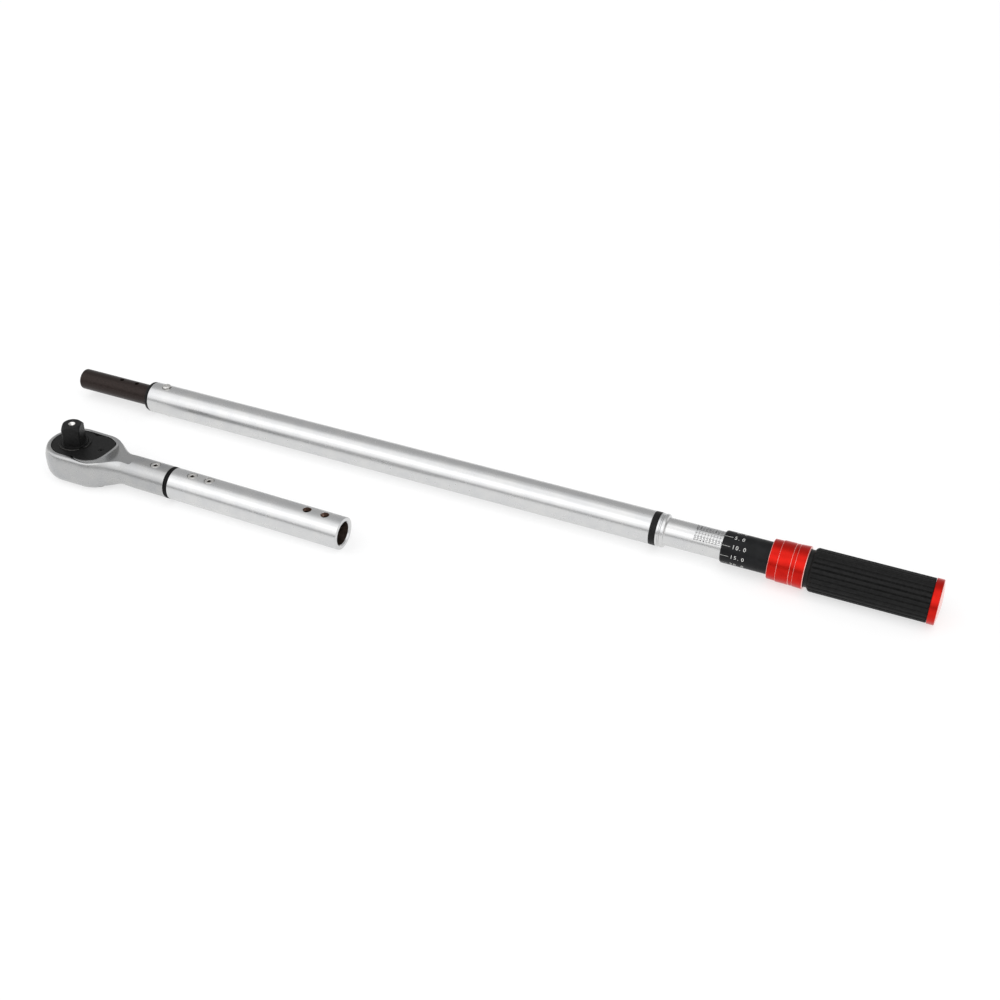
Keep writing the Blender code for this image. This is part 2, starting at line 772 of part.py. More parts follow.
def set_screw(name, head, at_x):
    """A socket set screw standing in the tube's wall, just below its surface."""
    screw = turned(name, rod_profile(12.3, 16.2, 5.0, 0.4), "plain_steel", head, SMALL_SIDES,
                   (at_x, 0, 0), UPRIGHT)
    hexagon = [(2.9 * math.cos(a), 2.9 * math.sin(a)) for a in (math.pi / 3 * i for i in range(6))]
    boolean(screw, prism(f"{name}_socket", [(13.4, hexagon), (18, hexagon)], None, head, (at_x, 0, 0)))


def extension(head):
    """The bar in the neck, the grooved ring round it and the sleeve that takes the spar."""
    bar = rod_profile(70.5, 190, SPAR_R, 1.2)
    turned("connector_bar", bar, "phosphated_steel", head, INNER_SIDES)
    ring_low = RING_FRONT + GAP
    ring_high = SLEEVE_FRONT - GAP
    middle = (ring_low + ring_high) / 2
    groove = 0.5
    profile = [(ring_low, SLEEVE_BORE_R), (ring_low, SLEEVE_R - 0.2)]
    for centre in (middle - 1.0, middle + 1.0):
        profile += [
            (centre - groove, SLEEVE_R),
            (centre, SLEEVE_R - 0.6),
            (centre + groove, SLEEVE_R),
        ]
    profile += [(ring_high, SLEEVE_R - 0.2), (ring_high, SLEEVE_BORE_R)]
    turned("spacer_ring", profile, "black_rubber", head)

    profile = [
        (SLEEVE_FRONT, SLEEVE_BORE_R),
        (SLEEVE_FRONT, SLEEVE_R - 0.4),
        (SLEEVE_FRONT + 0.4, SLEEVE_R),
        (SLEEVE_MOUTH - 0.7, SLEEVE_R),
        (SLEEVE_MOUTH, SLEEVE_R - 0.7),
        (SLEEVE_MOUTH, SLEEVE_BORE_R + 0.9),
        (SLEEVE_MOUTH - 1.2, SLEEVE_BORE_R),
    ]
    sleeve = turned("extension_sleeve", profile, "satin_chrome", head)
    for name in ("sleeve_screw_1", "sleeve_screw_2"):
        boolean(sleeve, upright_cutter(f"{name}_hole", head, SET_SCREWS[name], 8, 20, 5.3))
    for i, back in enumerate(CROSS_HOLES):
        boolean(sleeve, upright_cutter(f"open_hole_{i}", head, SLEEVE_MOUTH - back, 6, 20, 4.3))
    for name, at_x in SET_SCREWS.items():
        set_screw(name, head, at_x)


def build():
    clear_scene()
    collection(PARTS)
    collection(CUTTERS)
    main = section_empty("main_section", (TIP_X, MAIN_Y, MAIN_Z), -MAIN_TILT)
    spar_and_lever(main)
    pivot_pin(main)
    tube_and_rings(main)
    click_mechanism(main)
    barrel(main)
    adjusting_screw(main)
    thimble(main)
    lock_collar(main)
    handle(main)

    head = section_empty("head_section", (TIP_X + DRIVE_FROM_TIP, HEAD_Y, HEAD_Z), HEAD_TILT)
    ratchet_head(head)
    cover_plate(head)
    drive(head)
    pawl(head)
    reverse_lever(head)
    extension(head)


build()
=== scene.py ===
"""Looks of the two-section click torque wrench: fine surfaces, finishes, studio and camera.

Every piece is built in its own section's frame, in millimetres: X runs along the section's axis, Z is up,
and the origin is 2 mm ahead of the spar (main section) or the centre of the square drive (head section).
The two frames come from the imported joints, so each piece stands where its CAD node stands.
"""

import json
import math

import bmesh
import bpy
import numpy as np
from mathutils import Matrix, Vector


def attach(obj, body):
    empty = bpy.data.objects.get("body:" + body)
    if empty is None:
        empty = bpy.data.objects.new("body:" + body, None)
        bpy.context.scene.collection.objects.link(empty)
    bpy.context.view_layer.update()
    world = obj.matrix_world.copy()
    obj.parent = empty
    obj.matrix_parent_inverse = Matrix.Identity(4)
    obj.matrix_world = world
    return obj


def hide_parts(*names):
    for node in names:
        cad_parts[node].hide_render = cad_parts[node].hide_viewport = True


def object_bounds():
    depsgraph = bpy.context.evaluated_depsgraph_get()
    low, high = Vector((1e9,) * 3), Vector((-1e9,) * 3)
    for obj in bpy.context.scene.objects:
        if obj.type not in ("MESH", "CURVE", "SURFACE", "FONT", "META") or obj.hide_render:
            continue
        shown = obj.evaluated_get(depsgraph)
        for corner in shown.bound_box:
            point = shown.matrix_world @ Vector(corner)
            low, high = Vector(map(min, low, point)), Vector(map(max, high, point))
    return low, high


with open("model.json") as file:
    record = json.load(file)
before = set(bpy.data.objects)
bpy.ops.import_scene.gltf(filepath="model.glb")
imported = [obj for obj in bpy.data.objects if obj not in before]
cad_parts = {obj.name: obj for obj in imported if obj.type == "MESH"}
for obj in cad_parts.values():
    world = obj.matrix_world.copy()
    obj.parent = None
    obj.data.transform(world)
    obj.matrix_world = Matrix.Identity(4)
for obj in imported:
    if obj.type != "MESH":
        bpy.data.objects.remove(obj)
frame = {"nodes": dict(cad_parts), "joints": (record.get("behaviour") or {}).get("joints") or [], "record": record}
cad_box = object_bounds()

MM = 0.001
FINE = 160  # facets round a large turned piece
SMALL = 48

# Main section: stations and radii
SPAR_FRONT = 2.0
SPAR_R = 11.6
LEVER_R = 9.4
TUBE_R = 17.0
RING_FRONT = 94.5
TUBE_FRONT = 98.5
TUBE_REAR = 689.1
PIVOT_AT = 115.8
PIN_HALF = 19.7
BARREL_FRONT = 695.7
BARREL_R = 14.2
THIMBLE_FRONT = 761.3
THIMBLE_REAR = 846.0
THIMBLE_R = 16.15
COLLAR_FRONT = 808.3
COLLAR_REAR = 843.7
CORE_FRONT = 826.0
CORE_R = 18.5
GRIP_FRONT = 847.6
GRIP_REAR = 959.9
CAP_REAR = 969.8
CAP_R = 22.0
SPAR_HOLES = (54.5, 74.5)

# Head section: stations from the drive's centre, and radii
NECK_R = 16.7
NECK_END = 119.0
BORE_R = 11.95
SLEEVE_FRONT = 123.8
SLEEVE_MOUTH = 320.0
OPEN_HOLES = (280.0, 300.0)
SET_SCREWS = {"neck_screw": 101.4, "sleeve_screw_1": 146.1, "sleeve_screw_2": 166.2}
PLATE_LOBE_AT = 22.5
PAWL_AT = 33.0
HEAD_R = 31.5
HEAD_LENGTH = 24.5  # between the centres of the head's two round ends
HEAD_TOP = 15.0
PAD_R = 21.8
PAD_UNDERSIDE = -19.9
STEP_UNDERSIDE = -13.5
DRIVE_TOP = 37.9
DRIVE_HALF = 19.05 / 2
DRIVE_TURN = math.radians(22.5)

# Scale
TURN_PITCH = 3.0  # the thimble's travel in one turn
TURN_TORQUE = 50
FIRST_TORQUE = 100
SCALE_TURNS = 9
DIVISIONS = 10  # round the thimble
OLDER_UNIT = 1.355818  # newton metres in the unit of the second row


# ---------------------------------------------------------------- frames


def joint(name):
    return next(j for j in frame["joints"] if j["name"] == name)


def section_frame(point, along, up, station):
    """The matrix of a section whose axis passes through point, at that station."""
    x = Vector(along).normalized()
    z = Vector(up).normalized()
    y = z.cross(x)
    origin = Vector(point) - x * station * MM
    return Matrix.Translation(origin) @ Matrix((x, y, z)).transposed().to_4x4()


MAIN = section_frame(joint("lever_click")["pos_m"], joint("plunger_slide")["axis"],
                     joint("lever_click")["axis"], PIVOT_AT)
drive_up = Vector(joint("drive_spin")["axis"])
HEAD = section_frame(joint("drive_spin")["pos_m"], Vector((0, 1, 0)).cross(drive_up), drive_up, 0)
DRIVE = HEAD @ Matrix.Rotation(DRIVE_TURN, 4, "Z")


# ---------------------------------------------------------------- materials


class Finish:
    """A Principled material with short ways to drive it from textures on the piece's own axes."""

    def __init__(self, name, metallic, coat=0.0, coat_roughness=0.2, ior=1.5, specular=0.5):
        self.material = bpy.data.materials.new(name)
        self.material.use_nodes = True
        self.nodes = self.material.node_tree.nodes
        self.links = self.material.node_tree.links
        self.shader = self.nodes["Principled BSDF"]
        constants = {
            "Metallic": metallic,
            "Coat Weight": coat,
            "Coat Roughness": coat_roughness,
            "IOR": ior,
            "Specular IOR Level": specular,
        }
        for socket, value in constants.items():
            self.shader.inputs[socket].default_value = value
        self.place = self.nodes.new("ShaderNodeTexCoord").outputs["Object"]

    def noise(self, scale, detail=4.0, stretch=(1, 1, 1), roughness=0.55):
        """Noise of that scale per metre, drawn out along an axis by a small stretch value."""
        mapping = self.nodes.new("ShaderNodeMapping")
        mapping.inputs["Scale"].default_value = [scale * s for s in stretch]
        self.links.new(self.place, mapping.inputs["Vector"])
        texture = self.nodes.new("ShaderNodeTexNoise")
        texture.inputs["Scale"].default_value = 1.0
        texture.inputs["Detail"].default_value = detail
        texture.inputs["Roughness"].default_value = roughness
        self.links.new(mapping.outputs["Vector"], texture.inputs["Vector"])
        return texture.outputs["Fac"]

    def colour(self, first, second, share):
        """Base colour mixed from two by a texture whose middle values are spread out."""
        ramp = self.nodes.new("ShaderNodeValToRGB")
        ramp.color_ramp.elements[0].position = 0.36
        ramp.color_ramp.elements[1].position = 0.64
        ramp.color_ramp.elements[0].color = (*first, 1)
        ramp.color_ramp.elements[1].color = (*second, 1)
        self.links.new(share, ramp.inputs["Fac"])
        self.links.new(ramp.outputs["Color"], self.shader.inputs["Base Color"])

    def roughness(self, low, high, share):
        """Roughness between two values by a texture."""
        spread = self.nodes.new("ShaderNodeMapRange")
        spread.inputs["From Min"].default_value = 0.3
        spread.inputs["From Max"].default_value = 0.7
        spread.inputs["To Min"].default_value = low
        spread.inputs["To Max"].default_value = high
        self.links.new(share, spread.inputs["Value"])
        self.links.new(spread.outputs["Result"], self.shader.inputs["Roughness"])

    def bump(self, *layers):
        """Bumps of (height in millimetres, strength, texture), one on top of the other."""
        below = None
        for height, strength, texture in layers:
            node = self.nodes.new("ShaderNodeBump")
            node.inputs["Distance"].default_value = height * MM
            node.inputs["Strength"].default_value = strength
            self.links.new(texture, node.inputs["Height"])
            if below:
                self.links.new(below, node.inputs["Normal"])
            below = node.outputs["Normal"]
        self.links.new(below, self.shader.inputs["Normal"])


ROUND_THE_AXIS = (1, 0.03, 0.03)  # lines round the section's axis, as turning and polishing leave them


def satin_chrome():
    finish = Finish("satin_chrome", 1.0)
    cloud = finish.noise(55, 5)
    lines = finish.noise(2600, 3, ROUND_THE_AXIS)
    finish.colour((0.60, 0.605, 0.61), (0.645, 0.645, 0.64), cloud)
    finish.roughness(0.25, 0.28, finish.noise(120, 3))
    finish.bump((0.001, 0.02, lines), (0.003, 0.03, finish.noise(300, 2)))
    return finish.material


def forged_chrome():
    """Chrome over a forging that was blasted, not turned: fine grain and no lines. Its base is darker than the tube's
    chrome, painted shade for the head's dim walls.
    """
    finish = Finish("forged_chrome", 1.0)
    finish.colour((0.42, 0.425, 0.43), (0.46, 0.46, 0.455), finish.noise(70, 5))
    finish.roughness(0.26, 0.30, finish.noise(120, 3))
    finish.bump((0.003, 0.04, finish.noise(700, 2)), (0.01, 0.05, finish.noise(200, 2)))
    return finish.material


def bright_steel():
    finish = Finish("bright_steel", 1.0)
    finish.colour((0.60, 0.59, 0.57), (0.72, 0.71, 0.69), finish.noise(300, 5))
    finish.roughness(0.18, 0.30, finish.noise(900, 3))
    finish.bump((0.01, 0.2, finish.noise(2000, 3)))
    return finish.material


def phosphated_steel():
    finish = Finish("phosphated_steel", 0.4, specular=0.25)
    finish.colour((0.017, 0.011, 0.009), (0.026, 0.017, 0.015), finish.noise(520, 6))
    finish.roughness(0.30, 0.38, finish.noise(1100, 4))
    finish.bump((0.015, 0.25, finish.noise(2400, 4)), (0.02, 0.10, finish.noise(160, 3)))
    return finish.material


def bare_hole_wall():
    """The reddish-brown wall of a hole drilled through the chromed tube."""
    finish = Finish("bare_hole_wall", 0.8)
    finish.colour((0.20, 0.115, 0.085), (0.36, 0.24, 0.19), finish.noise(500, 4))
    finish.roughness(0.38, 0.55, finish.noise(900, 3))
    finish.bump((0.03, 0.3, finish.noise(1500, 3)))
    return finish.material


def dark_bore():
    # Painted shade: a near-black colour laid inside bores and sockets.
    finish = Finish("dark_bore", 0.6)
    finish.colour((0.035, 0.024, 0.018), (0.085, 0.06, 0.046), finish.noise(160, 5))
    finish.roughness(0.40, 0.60, finish.noise(700, 3))
    finish.bump((0.03, 0.3, finish.noise(900, 3, ROUND_THE_AXIS)))
    return finish.material


def black_oxide():
    finish = Finish("black_oxide", 0.05, specular=0.16)
    finish.colour((0.006, 0.006, 0.006), (0.012, 0.012, 0.012), finish.noise(420, 6))
    finish.roughness(0.34, 0.50, finish.noise(700, 4))
    finish.bump((0.02, 0.35, finish.noise(1700, 4)), (0.05, 0.12, finish.noise(220, 3)))
    return finish.material


def worn_edge():
    """Near black to dark steel grey in patches, laid on the retaining ring's outer face."""
    finish = Finish("worn_edge", 0.5, specular=0.3)
    finish.colour((0.012, 0.012, 0.012), (0.13, 0.125, 0.12), finish.noise(420, 6))
    finish.roughness(0.26, 0.42, finish.noise(700, 3))
    finish.bump((0.02, 0.3, finish.noise(1500, 3)))
    return finish.material


def black_anodised():
    finish = Finish("black_anodised", 0.05, specular=0.14)
    lines = finish.noise(2400, 3, ROUND_THE_AXIS)
    finish.colour((0.006, 0.0065, 0.007), (0.011, 0.0115, 0.0125), finish.noise(120, 4))
    finish.roughness(0.34, 0.44, lines)
    finish.bump((0.008, 0.15, lines))
    return finish.material


def red_anodised():
    finish = Finish("red_anodised", 0.85, coat=0.08, coat_roughness=0.2, specular=0.3)
    lines = finish.noise(2000, 3, ROUND_THE_AXIS)
    finish.colour((0.50, 0.006, 0.002), (0.58, 0.009, 0.003), finish.noise(110, 4))
    finish.roughness(0.26, 0.36, lines)
    finish.bump((0.008, 0.12, lines))
    return finish.material


def red_turned_edge():
    """Painted highlight and reflection: a pale pink laid on the red pieces' edges and on the cap's end face."""
    finish = Finish("red_turned_edge", 0.7, coat=0.3, coat_roughness=0.2)
    finish.colour((0.90, 0.42, 0.38), (0.94, 0.52, 0.48), finish.noise(300, 4))
    finish.roughness(0.24, 0.32, finish.noise(900, 3))
    finish.bump((0.01, 0.1, finish.noise(1500, 3)))
    return finish.material


def black_rubber():
    finish = Finish("black_rubber", 0.0, ior=1.45, specular=0.16)
    finish.colour((0.006, 0.006, 0.006), (0.011, 0.011, 0.011), finish.noise(300, 5))
    finish.roughness(0.48, 0.62, finish.noise(600, 4))
    finish.bump((0.04, 0.35, finish.noise(1300, 4)), (0.05, 0.08, finish.noise(240, 3)))
    return finish.material


def white_ink():
    finish = Finish("white_ink", 0.0)
    finish.colour((0.55, 0.55, 0.53), (0.68, 0.68, 0.66), finish.noise(900, 4))
    finish.roughness(0.5, 0.65, finish.noise(800, 3))
    finish.bump((0.01, 0.3, finish.noise(2500, 3)))
    return finish.material


def engraving():
    """The dark bottom of a mark rolled into the chromed barrel."""
    finish = Finish("engraving", 0.5)
    finish.colour((0.016, 0.016, 0.017), (0.045, 0.045, 0.047), finish.noise(1100, 4))
    finish.roughness(0.40, 0.55, finish.noise(900, 3))
    finish.bump((0.01, 0.3, finish.noise(2500, 3)))
    return finish.material


def spring_steel():
    finish = Finish("spring_steel", 1.0)
    finish.colour((0.22, 0.22, 0.22), (0.34, 0.34, 0.33), finish.noise(260, 4))
    finish.roughness(0.28, 0.42, finish.noise(600, 3))
    finish.bump((0.01, 0.2, finish.noise(1500, 3)))
    return finish.material


MAKERS = (satin_chrome, forged_chrome, bright_steel, phosphated_steel, bare_hole_wall, dark_bore, black_oxide,
          worn_edge, black_anodised, red_anodised, red_turned_edge, black_rubber, white_ink, engraving, spring_steel)
FINISHES = {maker.__name__: maker() for maker in MAKERS}
SLOT_FINISH = {
    "satin_chrome": "satin_chrome",
    "phosphated_steel": "phosphated_steel",
    "black_oxide": "black_oxide",
    "black_rubber": "black_rubber",
    "black_anodised": "black_anodised",
    "red_anodised": "red_anodised",
    "plain_steel": "bright_steel",
    "spring_steel": "spring_steel",
}
NODE_SLOT = {part["node"]: part["material_slot"] for part in frame["record"]["subparts"]}
NODE_BODY = {
    node: body for body, nodes in frame["record"]["behaviour"]["bodies"].items() for node in nodes
}


# ---------------------------------------------------------------- mesh helpers


def new_object(name, mesh, section):
    """An object standing in a section's frame."""
    obj = bpy.data.objects.new(name, mesh)
    bpy.context.scene.collection.objects.link(obj)
    obj.matrix_world = section
    return obj


def mesh_from(name, points, faces):
    """A mesh of points in millimetres."""
    mesh = bpy.data.meshes.new(name)
    mesh.from_pydata([Vector(p) * MM for p in points], [], faces)
    mesh.update()
    return mesh


def facing_out(mesh):
    """The mesh with all its faces turned outward."""
    bm = bmesh.new()
    bm.from_mesh(mesh)
    bmesh.ops.recalc_face_normals(bm, faces=bm.faces)
    bm.to_mesh(mesh)
    bm.free()
    return mesh


def filleted(corners, steps=5):
    """A closed profile of (station, radius, fillet): each corner with a fillet is rounded off by an arc."""
    points = []
    for i, corner in enumerate(corners):
        here = Vector(corner[:2])
        fillet = corner[2] if len(corner) > 2 else 0
        before = Vector(corners[i - 1][:2]) - here
        after = Vector(corners[(i + 1) % len(corners)][:2]) - here
        half = before.angle(after, math.pi) / 2
        if not fillet or half > 1.55:
            points.append(tuple(here))
            continue
        back = min(fillet / math.tan(half), 0.48 * before.length, 0.48 * after.length)
        start = here + before.normalized() * back
        end = here + after.normalized() * back
        for k in range(steps + 1):
            t = k / steps
            points.append(tuple(start * (1 - t) ** 2 + here * 2 * t * (1 - t) + end * t**2))
    return points


def turned_mesh(name, profile, sides=FINE):
    """Revolve a closed profile of (station, radius) about X. Points with radius 0 lie on the axis."""
    points, rings = [], []
    for station, radius in profile:
        around = 1 if radius < 1e-6 else sides
        rings.append([len(points) + i for i in range(around)])
        for i in range(around):
            a = 2 * math.pi * i / sides
            points.append((station, -radius * math.cos(a), radius * math.sin(a)))
    faces = []
    for first, second in zip(rings, rings[1:] + rings[:1]):
        if len(first) == 1 and len(second) == 1:
            continue
        for i in range(sides):
            j = (i + 1) % sides
            corners = (first[i % len(first)], second[i % len(second)],
                       second[j % len(second)], first[j % len(first)])
            faces.append(tuple(dict.fromkeys(corners)))
    return facing_out(mesh_from(name, points, faces))


def turned(name, corners, section, sides=FINE, at=(0, 0, 0), upright=False):
    """A turned piece along the section's axis, or standing up from a place on it."""
    placed = section @ Matrix.Translation(Vector(at) * MM)
    if upright:
        placed = placed @ Matrix.Rotation(-math.pi / 2, 4, "Y")
    return new_object(name, turned_mesh(name, filleted(corners), sides), placed)


def circle(radius, sides=64, centre=(0, 0)):
    angles = (2 * math.pi * i / sides for i in range(sides))
    return [(centre[0] + radius * math.cos(a), centre[1] + radius * math.sin(a)) for a in angles]


def two_lobes(first_r, second_r, second_at, sides=128):
    """The outline of two overlapping circles on the X axis, seen from above."""
    meet_x = (first_r**2 - second_r**2 + second_at**2) / (2 * second_at)
    meet_y = math.sqrt(first_r**2 - meet_x**2)
    first_from = math.atan2(meet_y, meet_x)
    second_to = math.atan2(meet_y, meet_x - second_at)
    outline = []
    for i in range(sides // 2):
        a = first_from + (2 * math.pi - 2 * first_from) * i / (sides // 2)
        outline.append((first_r * math.cos(a), first_r * math.sin(a)))
    for i in range(sides // 2):
        a = -second_to + 2 * second_to * i / (sides // 2)
        outline.append((second_at + second_r * math.cos(a), second_r * math.sin(a)))
    return outline


def racetrack(first_r, second_r, second_at, sides=160):
    """Two circles on the X axis joined by their outer tangents, seen from above."""
    lean = math.asin((first_r - second_r) / second_at)
    outline = []
    for i in range(sides // 2 + 1):
        a = math.pi / 2 - lean + (math.pi + 2 * lean) * i / (sides // 2)
        outline.append((first_r * math.cos(a), first_r * math.sin(a)))
    for i in range(sides // 2 + 1):
        a = -math.pi / 2 + lean + (math.pi - 2 * lean) * i / (sides // 2)
        outline.append((second_at + second_r * math.cos(a), second_r * math.sin(a)))
    return outline


def stacked(name, levels, section, at=(0, 0, 0)):
    """A closed solid through outlines stacked along Z: levels is a list of (height, points)."""
    points, faces = [], []
    for height, outline in levels:
        points += [(x + at[0], y + at[1], height + at[2]) for x, y in outline]
    around = len(levels[0][1])
    for level in range(len(levels) - 1):
        for i in range(around):
            a = level * around + i
            b = level * around + (i + 1) % around
            faces.append((a, b, b + around, a + around))
    faces.append(tuple(range(around))[::-1])
    faces.append(tuple(range(len(points) - around, len(points))))
    return new_object(name, facing_out(mesh_from(name, points, faces)), section)


def lift(station, angle, radius):
    """The point at that angle round the section's axis: 0 faces the front (-Y), 90 degrees is the top."""
    return (station, -radius * math.cos(angle), radius * math.sin(angle))


def settle(obj):
    """Replace an object's mesh by what its modifiers make of it."""
    bpy.context.view_layer.update()
    evaluated = obj.evaluated_get(bpy.context.evaluated_depsgraph_get())
    mesh = bpy.data.meshes.new_from_object(evaluated)
    obj.modifiers.clear()
    obj.data = mesh
    mesh.name = obj.name


def combine(obj, others, operation="DIFFERENCE"):
    """Cut other solids from an object, or join them to it, and remove them."""
    for other in others:
        change = obj.modifiers.new("change", "BOOLEAN")
        change.object = other
        change.operation = operation
        change.solver = "MANIFOLD"
        settle(obj)
        bpy.data.objects.remove(other)
    return obj


def finished(obj, node, finish=None, extra=(), sharp=28.0, replace=True):
    """Shade a piece, give it its finish and let it stand for its CAD node."""
    slot = NODE_SLOT[node]
    mesh = obj.data
    mesh.materials.clear()
    for name in (finish or SLOT_FINISH[slot], *extra):
        mesh.materials.append(FINISHES[name])
    mesh.shade_smooth()
    mesh.set_sharp_from_angle(angle=math.radians(sharp))
    even = obj.modifiers.new("normals", "WEIGHTED_NORMAL")
    even.keep_sharp = True
    even.weight = 80
    settle(obj)
    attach(obj, NODE_BODY[node])
    if replace:
        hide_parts(node)
    return obj


def paint(obj, index, where):
    """Give the faces whose centre and normal (in the section's frame, mm) answer the test that material."""
    for face in obj.data.polygons:
        if where(face.center / MM, face.normal):
            face.material_index = index


# ---------------------------------------------------------------- implicit surface of the forging


def soft_min(a, b, width):
    """The smaller of two fields, with the crease between them rounded over that width."""
    share = np.clip(0.5 + 0.5 * (b - a) / width, 0, 1)
    return b * (1 - share) + a * share - width * share * (1 - share)


def soft_max(a, b, width):
    return -soft_min(-a, -b, width)


def forging_field(p):
    """Below 0 inside the forging before its top is cut flat. p holds points in millimetres."""
    x, y, z = p[..., 0], p[..., 1], p[..., 2]
    along = np.clip(x, 0, HEAD_LENGTH)
    belt = np.hypot(x - along, y) - (HEAD_R - 0.4 * along / HEAD_LENGTH)
    swell = 0.8 * (np.clip(z - 3, 0, None) / 6) ** 2 + 9.0 * (np.clip(3 - z, 0, 23) / 22.9) ** 4.8
    head = soft_max(soft_max(belt + swell, z - HEAD_TOP, 2.6), PAD_UNDERSIDE - z, 1.2)
    waist = 0.5 * np.exp(-(((x - 62) / 10) ** 2))
    neck = soft_max(np.hypot(y, z) - (NECK_R - waist), 18 - x, 1.0)
    body = soft_min(head, neck, 13.0 * np.clip((x - 20) / 25, 0.05, 1))
    return np.maximum(body, x - NECK_END - 3)


def surface_net(field, low, high, step):
    """The surface where the field is 0, as points and four-sided faces facing out."""
    axes = [np.arange(low[i], high[i] + step, step) for i in range(3)]
    grid = np.stack(np.meshgrid(*axes, indexing="ij"), -1)
    inside = field(grid) < 0
    size = [n - 1 for n in inside.shape]
    corners = sum(
        inside[i : i + size[0], j : j + size[1], k : k + size[2]].astype(int)
        for i in (0, 1) for j in (0, 1) for k in (0, 1)
    )
    cells = np.argwhere((corners > 0) & (corners < 8))
    index = np.full(corners.shape, -1)
    index[tuple(cells.T)] = np.arange(len(cells))
    points = np.array(low) + (cells + 0.5) * step
    faces = []
    for axis in range(3):
        b, c = (axis + 1) % 3, (axis + 2) % 3
        ahead = np.roll(inside, -1, axis)
        change = np.argwhere(inside != ahead)
        change = change[(change[:, axis] < size[axis]) & (change[:, b] > 0) & (change[:, c] > 0)]
        outward = inside[tuple(change.T)]
        ring = []
        for db, dc in ((0, 0), (1, 0), (1, 1), (0, 1)):
            cell = change.copy()
            cell[:, b] -= db
            cell[:, c] -= dc
            ring.append(index[tuple(cell.T)])
        ring = np.stack(ring, -1)
        ring[~outward] = ring[~outward][:, ::-1]
        faces.append(ring)
    faces = np.concatenate(faces)
    for _ in range(5):
        points = on_surface(field, points, step)
        points = on_surface(field, evened(points, faces), step)
    return points, faces


def on_surface(field, points, step):
    """The points moved along the field's slope to where it is 0."""
    nudge = np.eye(3) * 0.05
    for _ in range(2):
        value = field(points)
        slope = np.stack([field(points + n) - field(points - n) for n in nudge], -1) / 0.1
        move = -slope * (value / np.maximum((slope**2).sum(-1), 0.05))[:, None]
        points = points + np.clip(move, -0.5 * step, 0.5 * step)
    return points


def field_normals(field, points):
    """The direction in which the field rises at each point."""
    nudge = np.eye(3) * 0.05
    slope = np.stack([field(points + n) - field(points - n) for n in nudge], -1)
    return slope / np.maximum(np.linalg.norm(slope, axis=-1, keepdims=True), 1e-9)


def follow_field(mesh, field):
    """Take the normals of the faces that lie on the field's surface from the field itself."""
    points = np.array([v.co[:] for v in mesh.vertices]) / MM
    centres = np.array([face.center[:] for face in mesh.polygons]) / MM
    facing = np.array([face.normal[:] for face in mesh.polygons])
    on_it = (np.abs(field(centres)) < 0.12) & ((facing * field_normals(field, centres)).sum(-1) > 0.5)
    normals = np.array([corner.vector[:] for corner in mesh.corner_normals])
    smooth = field_normals(field, points)
    for face in mesh.polygons:
        if on_it[face.index]:
            for corner in face.loop_indices:
                normals[corner] = smooth[mesh.loops[corner].vertex_index]
    mesh.normals_split_custom_set(normals.tolist())


def evened(points, faces):
    """Each point at the mean of its neighbours."""
    total = np.zeros_like(points)
    count = np.zeros(len(points))
    for a in range(4):
        for b in ((a + 1) % 4, (a - 1) % 4):
            np.add.at(total, faces[:, a], points[faces[:, b]])
            np.add.at(count, faces[:, a], 1)
    return total / count[:, None]


# ---------------------------------------------------------------- main section


def spar():
    """The round bar in front of the tube, and the thinner lever behind it that the tube hides."""
    corners = [
        (SPAR_FRONT, 0), (SPAR_FRONT, SPAR_R, 1.7), (132, SPAR_R, 0.5), (136, LEVER_R, 0.5),
        (195.8, LEVER_R, 0.6), (195.8, 0),
    ]
    piece = turned("spar_and_lever", corners, MAIN, FINE)
    holes = [
        turned("hole", [(4.6, 0), (4.6, 2.3), (SPAR_R - 0.45, 2.3), (SPAR_R + 1, 3.6), (SPAR_R + 1, 0)],
               MAIN, SMALL, (at, 0, 0), True)
        for at in SPAR_HOLES
    ]
    holes.append(turned("hole", [(-14, 0), (-14, 4.7), (14, 4.7), (14, 0)], MAIN, SMALL, (PIVOT_AT, 0, 0), True))
    combine(piece, holes)
    finished(piece, "lever_bar")


def tube():
    """The long tube, with a countersunk hole for the pin above and below."""
    corners = [
        (TUBE_FRONT, 13.5, 0.2), (TUBE_FRONT, TUBE_R, 0.7), (TUBE_REAR, TUBE_R, 0.35),
        (TUBE_REAR, 15.2), (701.4, 15.2), (701.4, 13.5),
    ]
    piece = turned("tube_skin", corners, MAIN, FINE)
    seat = [(14, 0), (14, 4.75), (16.2, 4.75), (18.2, 6.0), (18.2, 0)]
    cutters = [
        turned("seat", seat, MAIN, SMALL, (PIVOT_AT, 0, 0), True),
        turned("seat", [(-s, r) for s, r in seat], MAIN, SMALL, (PIVOT_AT, 0, 0), True),
        turned("seat", [(-22, 0), (-22, 4.7), (22, 4.7), (22, 0)], MAIN, SMALL, (PIVOT_AT, 0, 0), True),
    ]
    combine(piece, cutters)
    finished(piece, "main_tube", extra=["dark_bore"])
    # Painted shade: the tube's bore takes the near-black bore colour.
    paint(piece, 1, lambda at, normal: math.hypot(at.y, at.z) < 13.7)


def pivot_pin():
    """The pin across the tube, domed at both ends."""
    rise = 1.2
    radius = 4.4
    half = [(0, radius), (PIN_HALF - rise, radius, 0.2)]
    half += [
        (PIN_HALF - rise + rise * math.sin(a), radius * math.cos(a))
        for a in (math.pi / 2 * i / 9 for i in range(1, 9))
    ]
    # a small centre mark in the dome
    half += [(PIN_HALF - 0.02, 0.7), (PIN_HALF - 0.35, 0.3), (PIN_HALF - 0.4, 0)]
    corners = [(-s, r, *f) for s, r, *f in reversed(half[1:])] + half
    piece = turned("pivot_pin_fine", corners, MAIN, SMALL, (PIVOT_AT, 0, 0), True)
    finished(piece, "pivot_pin")


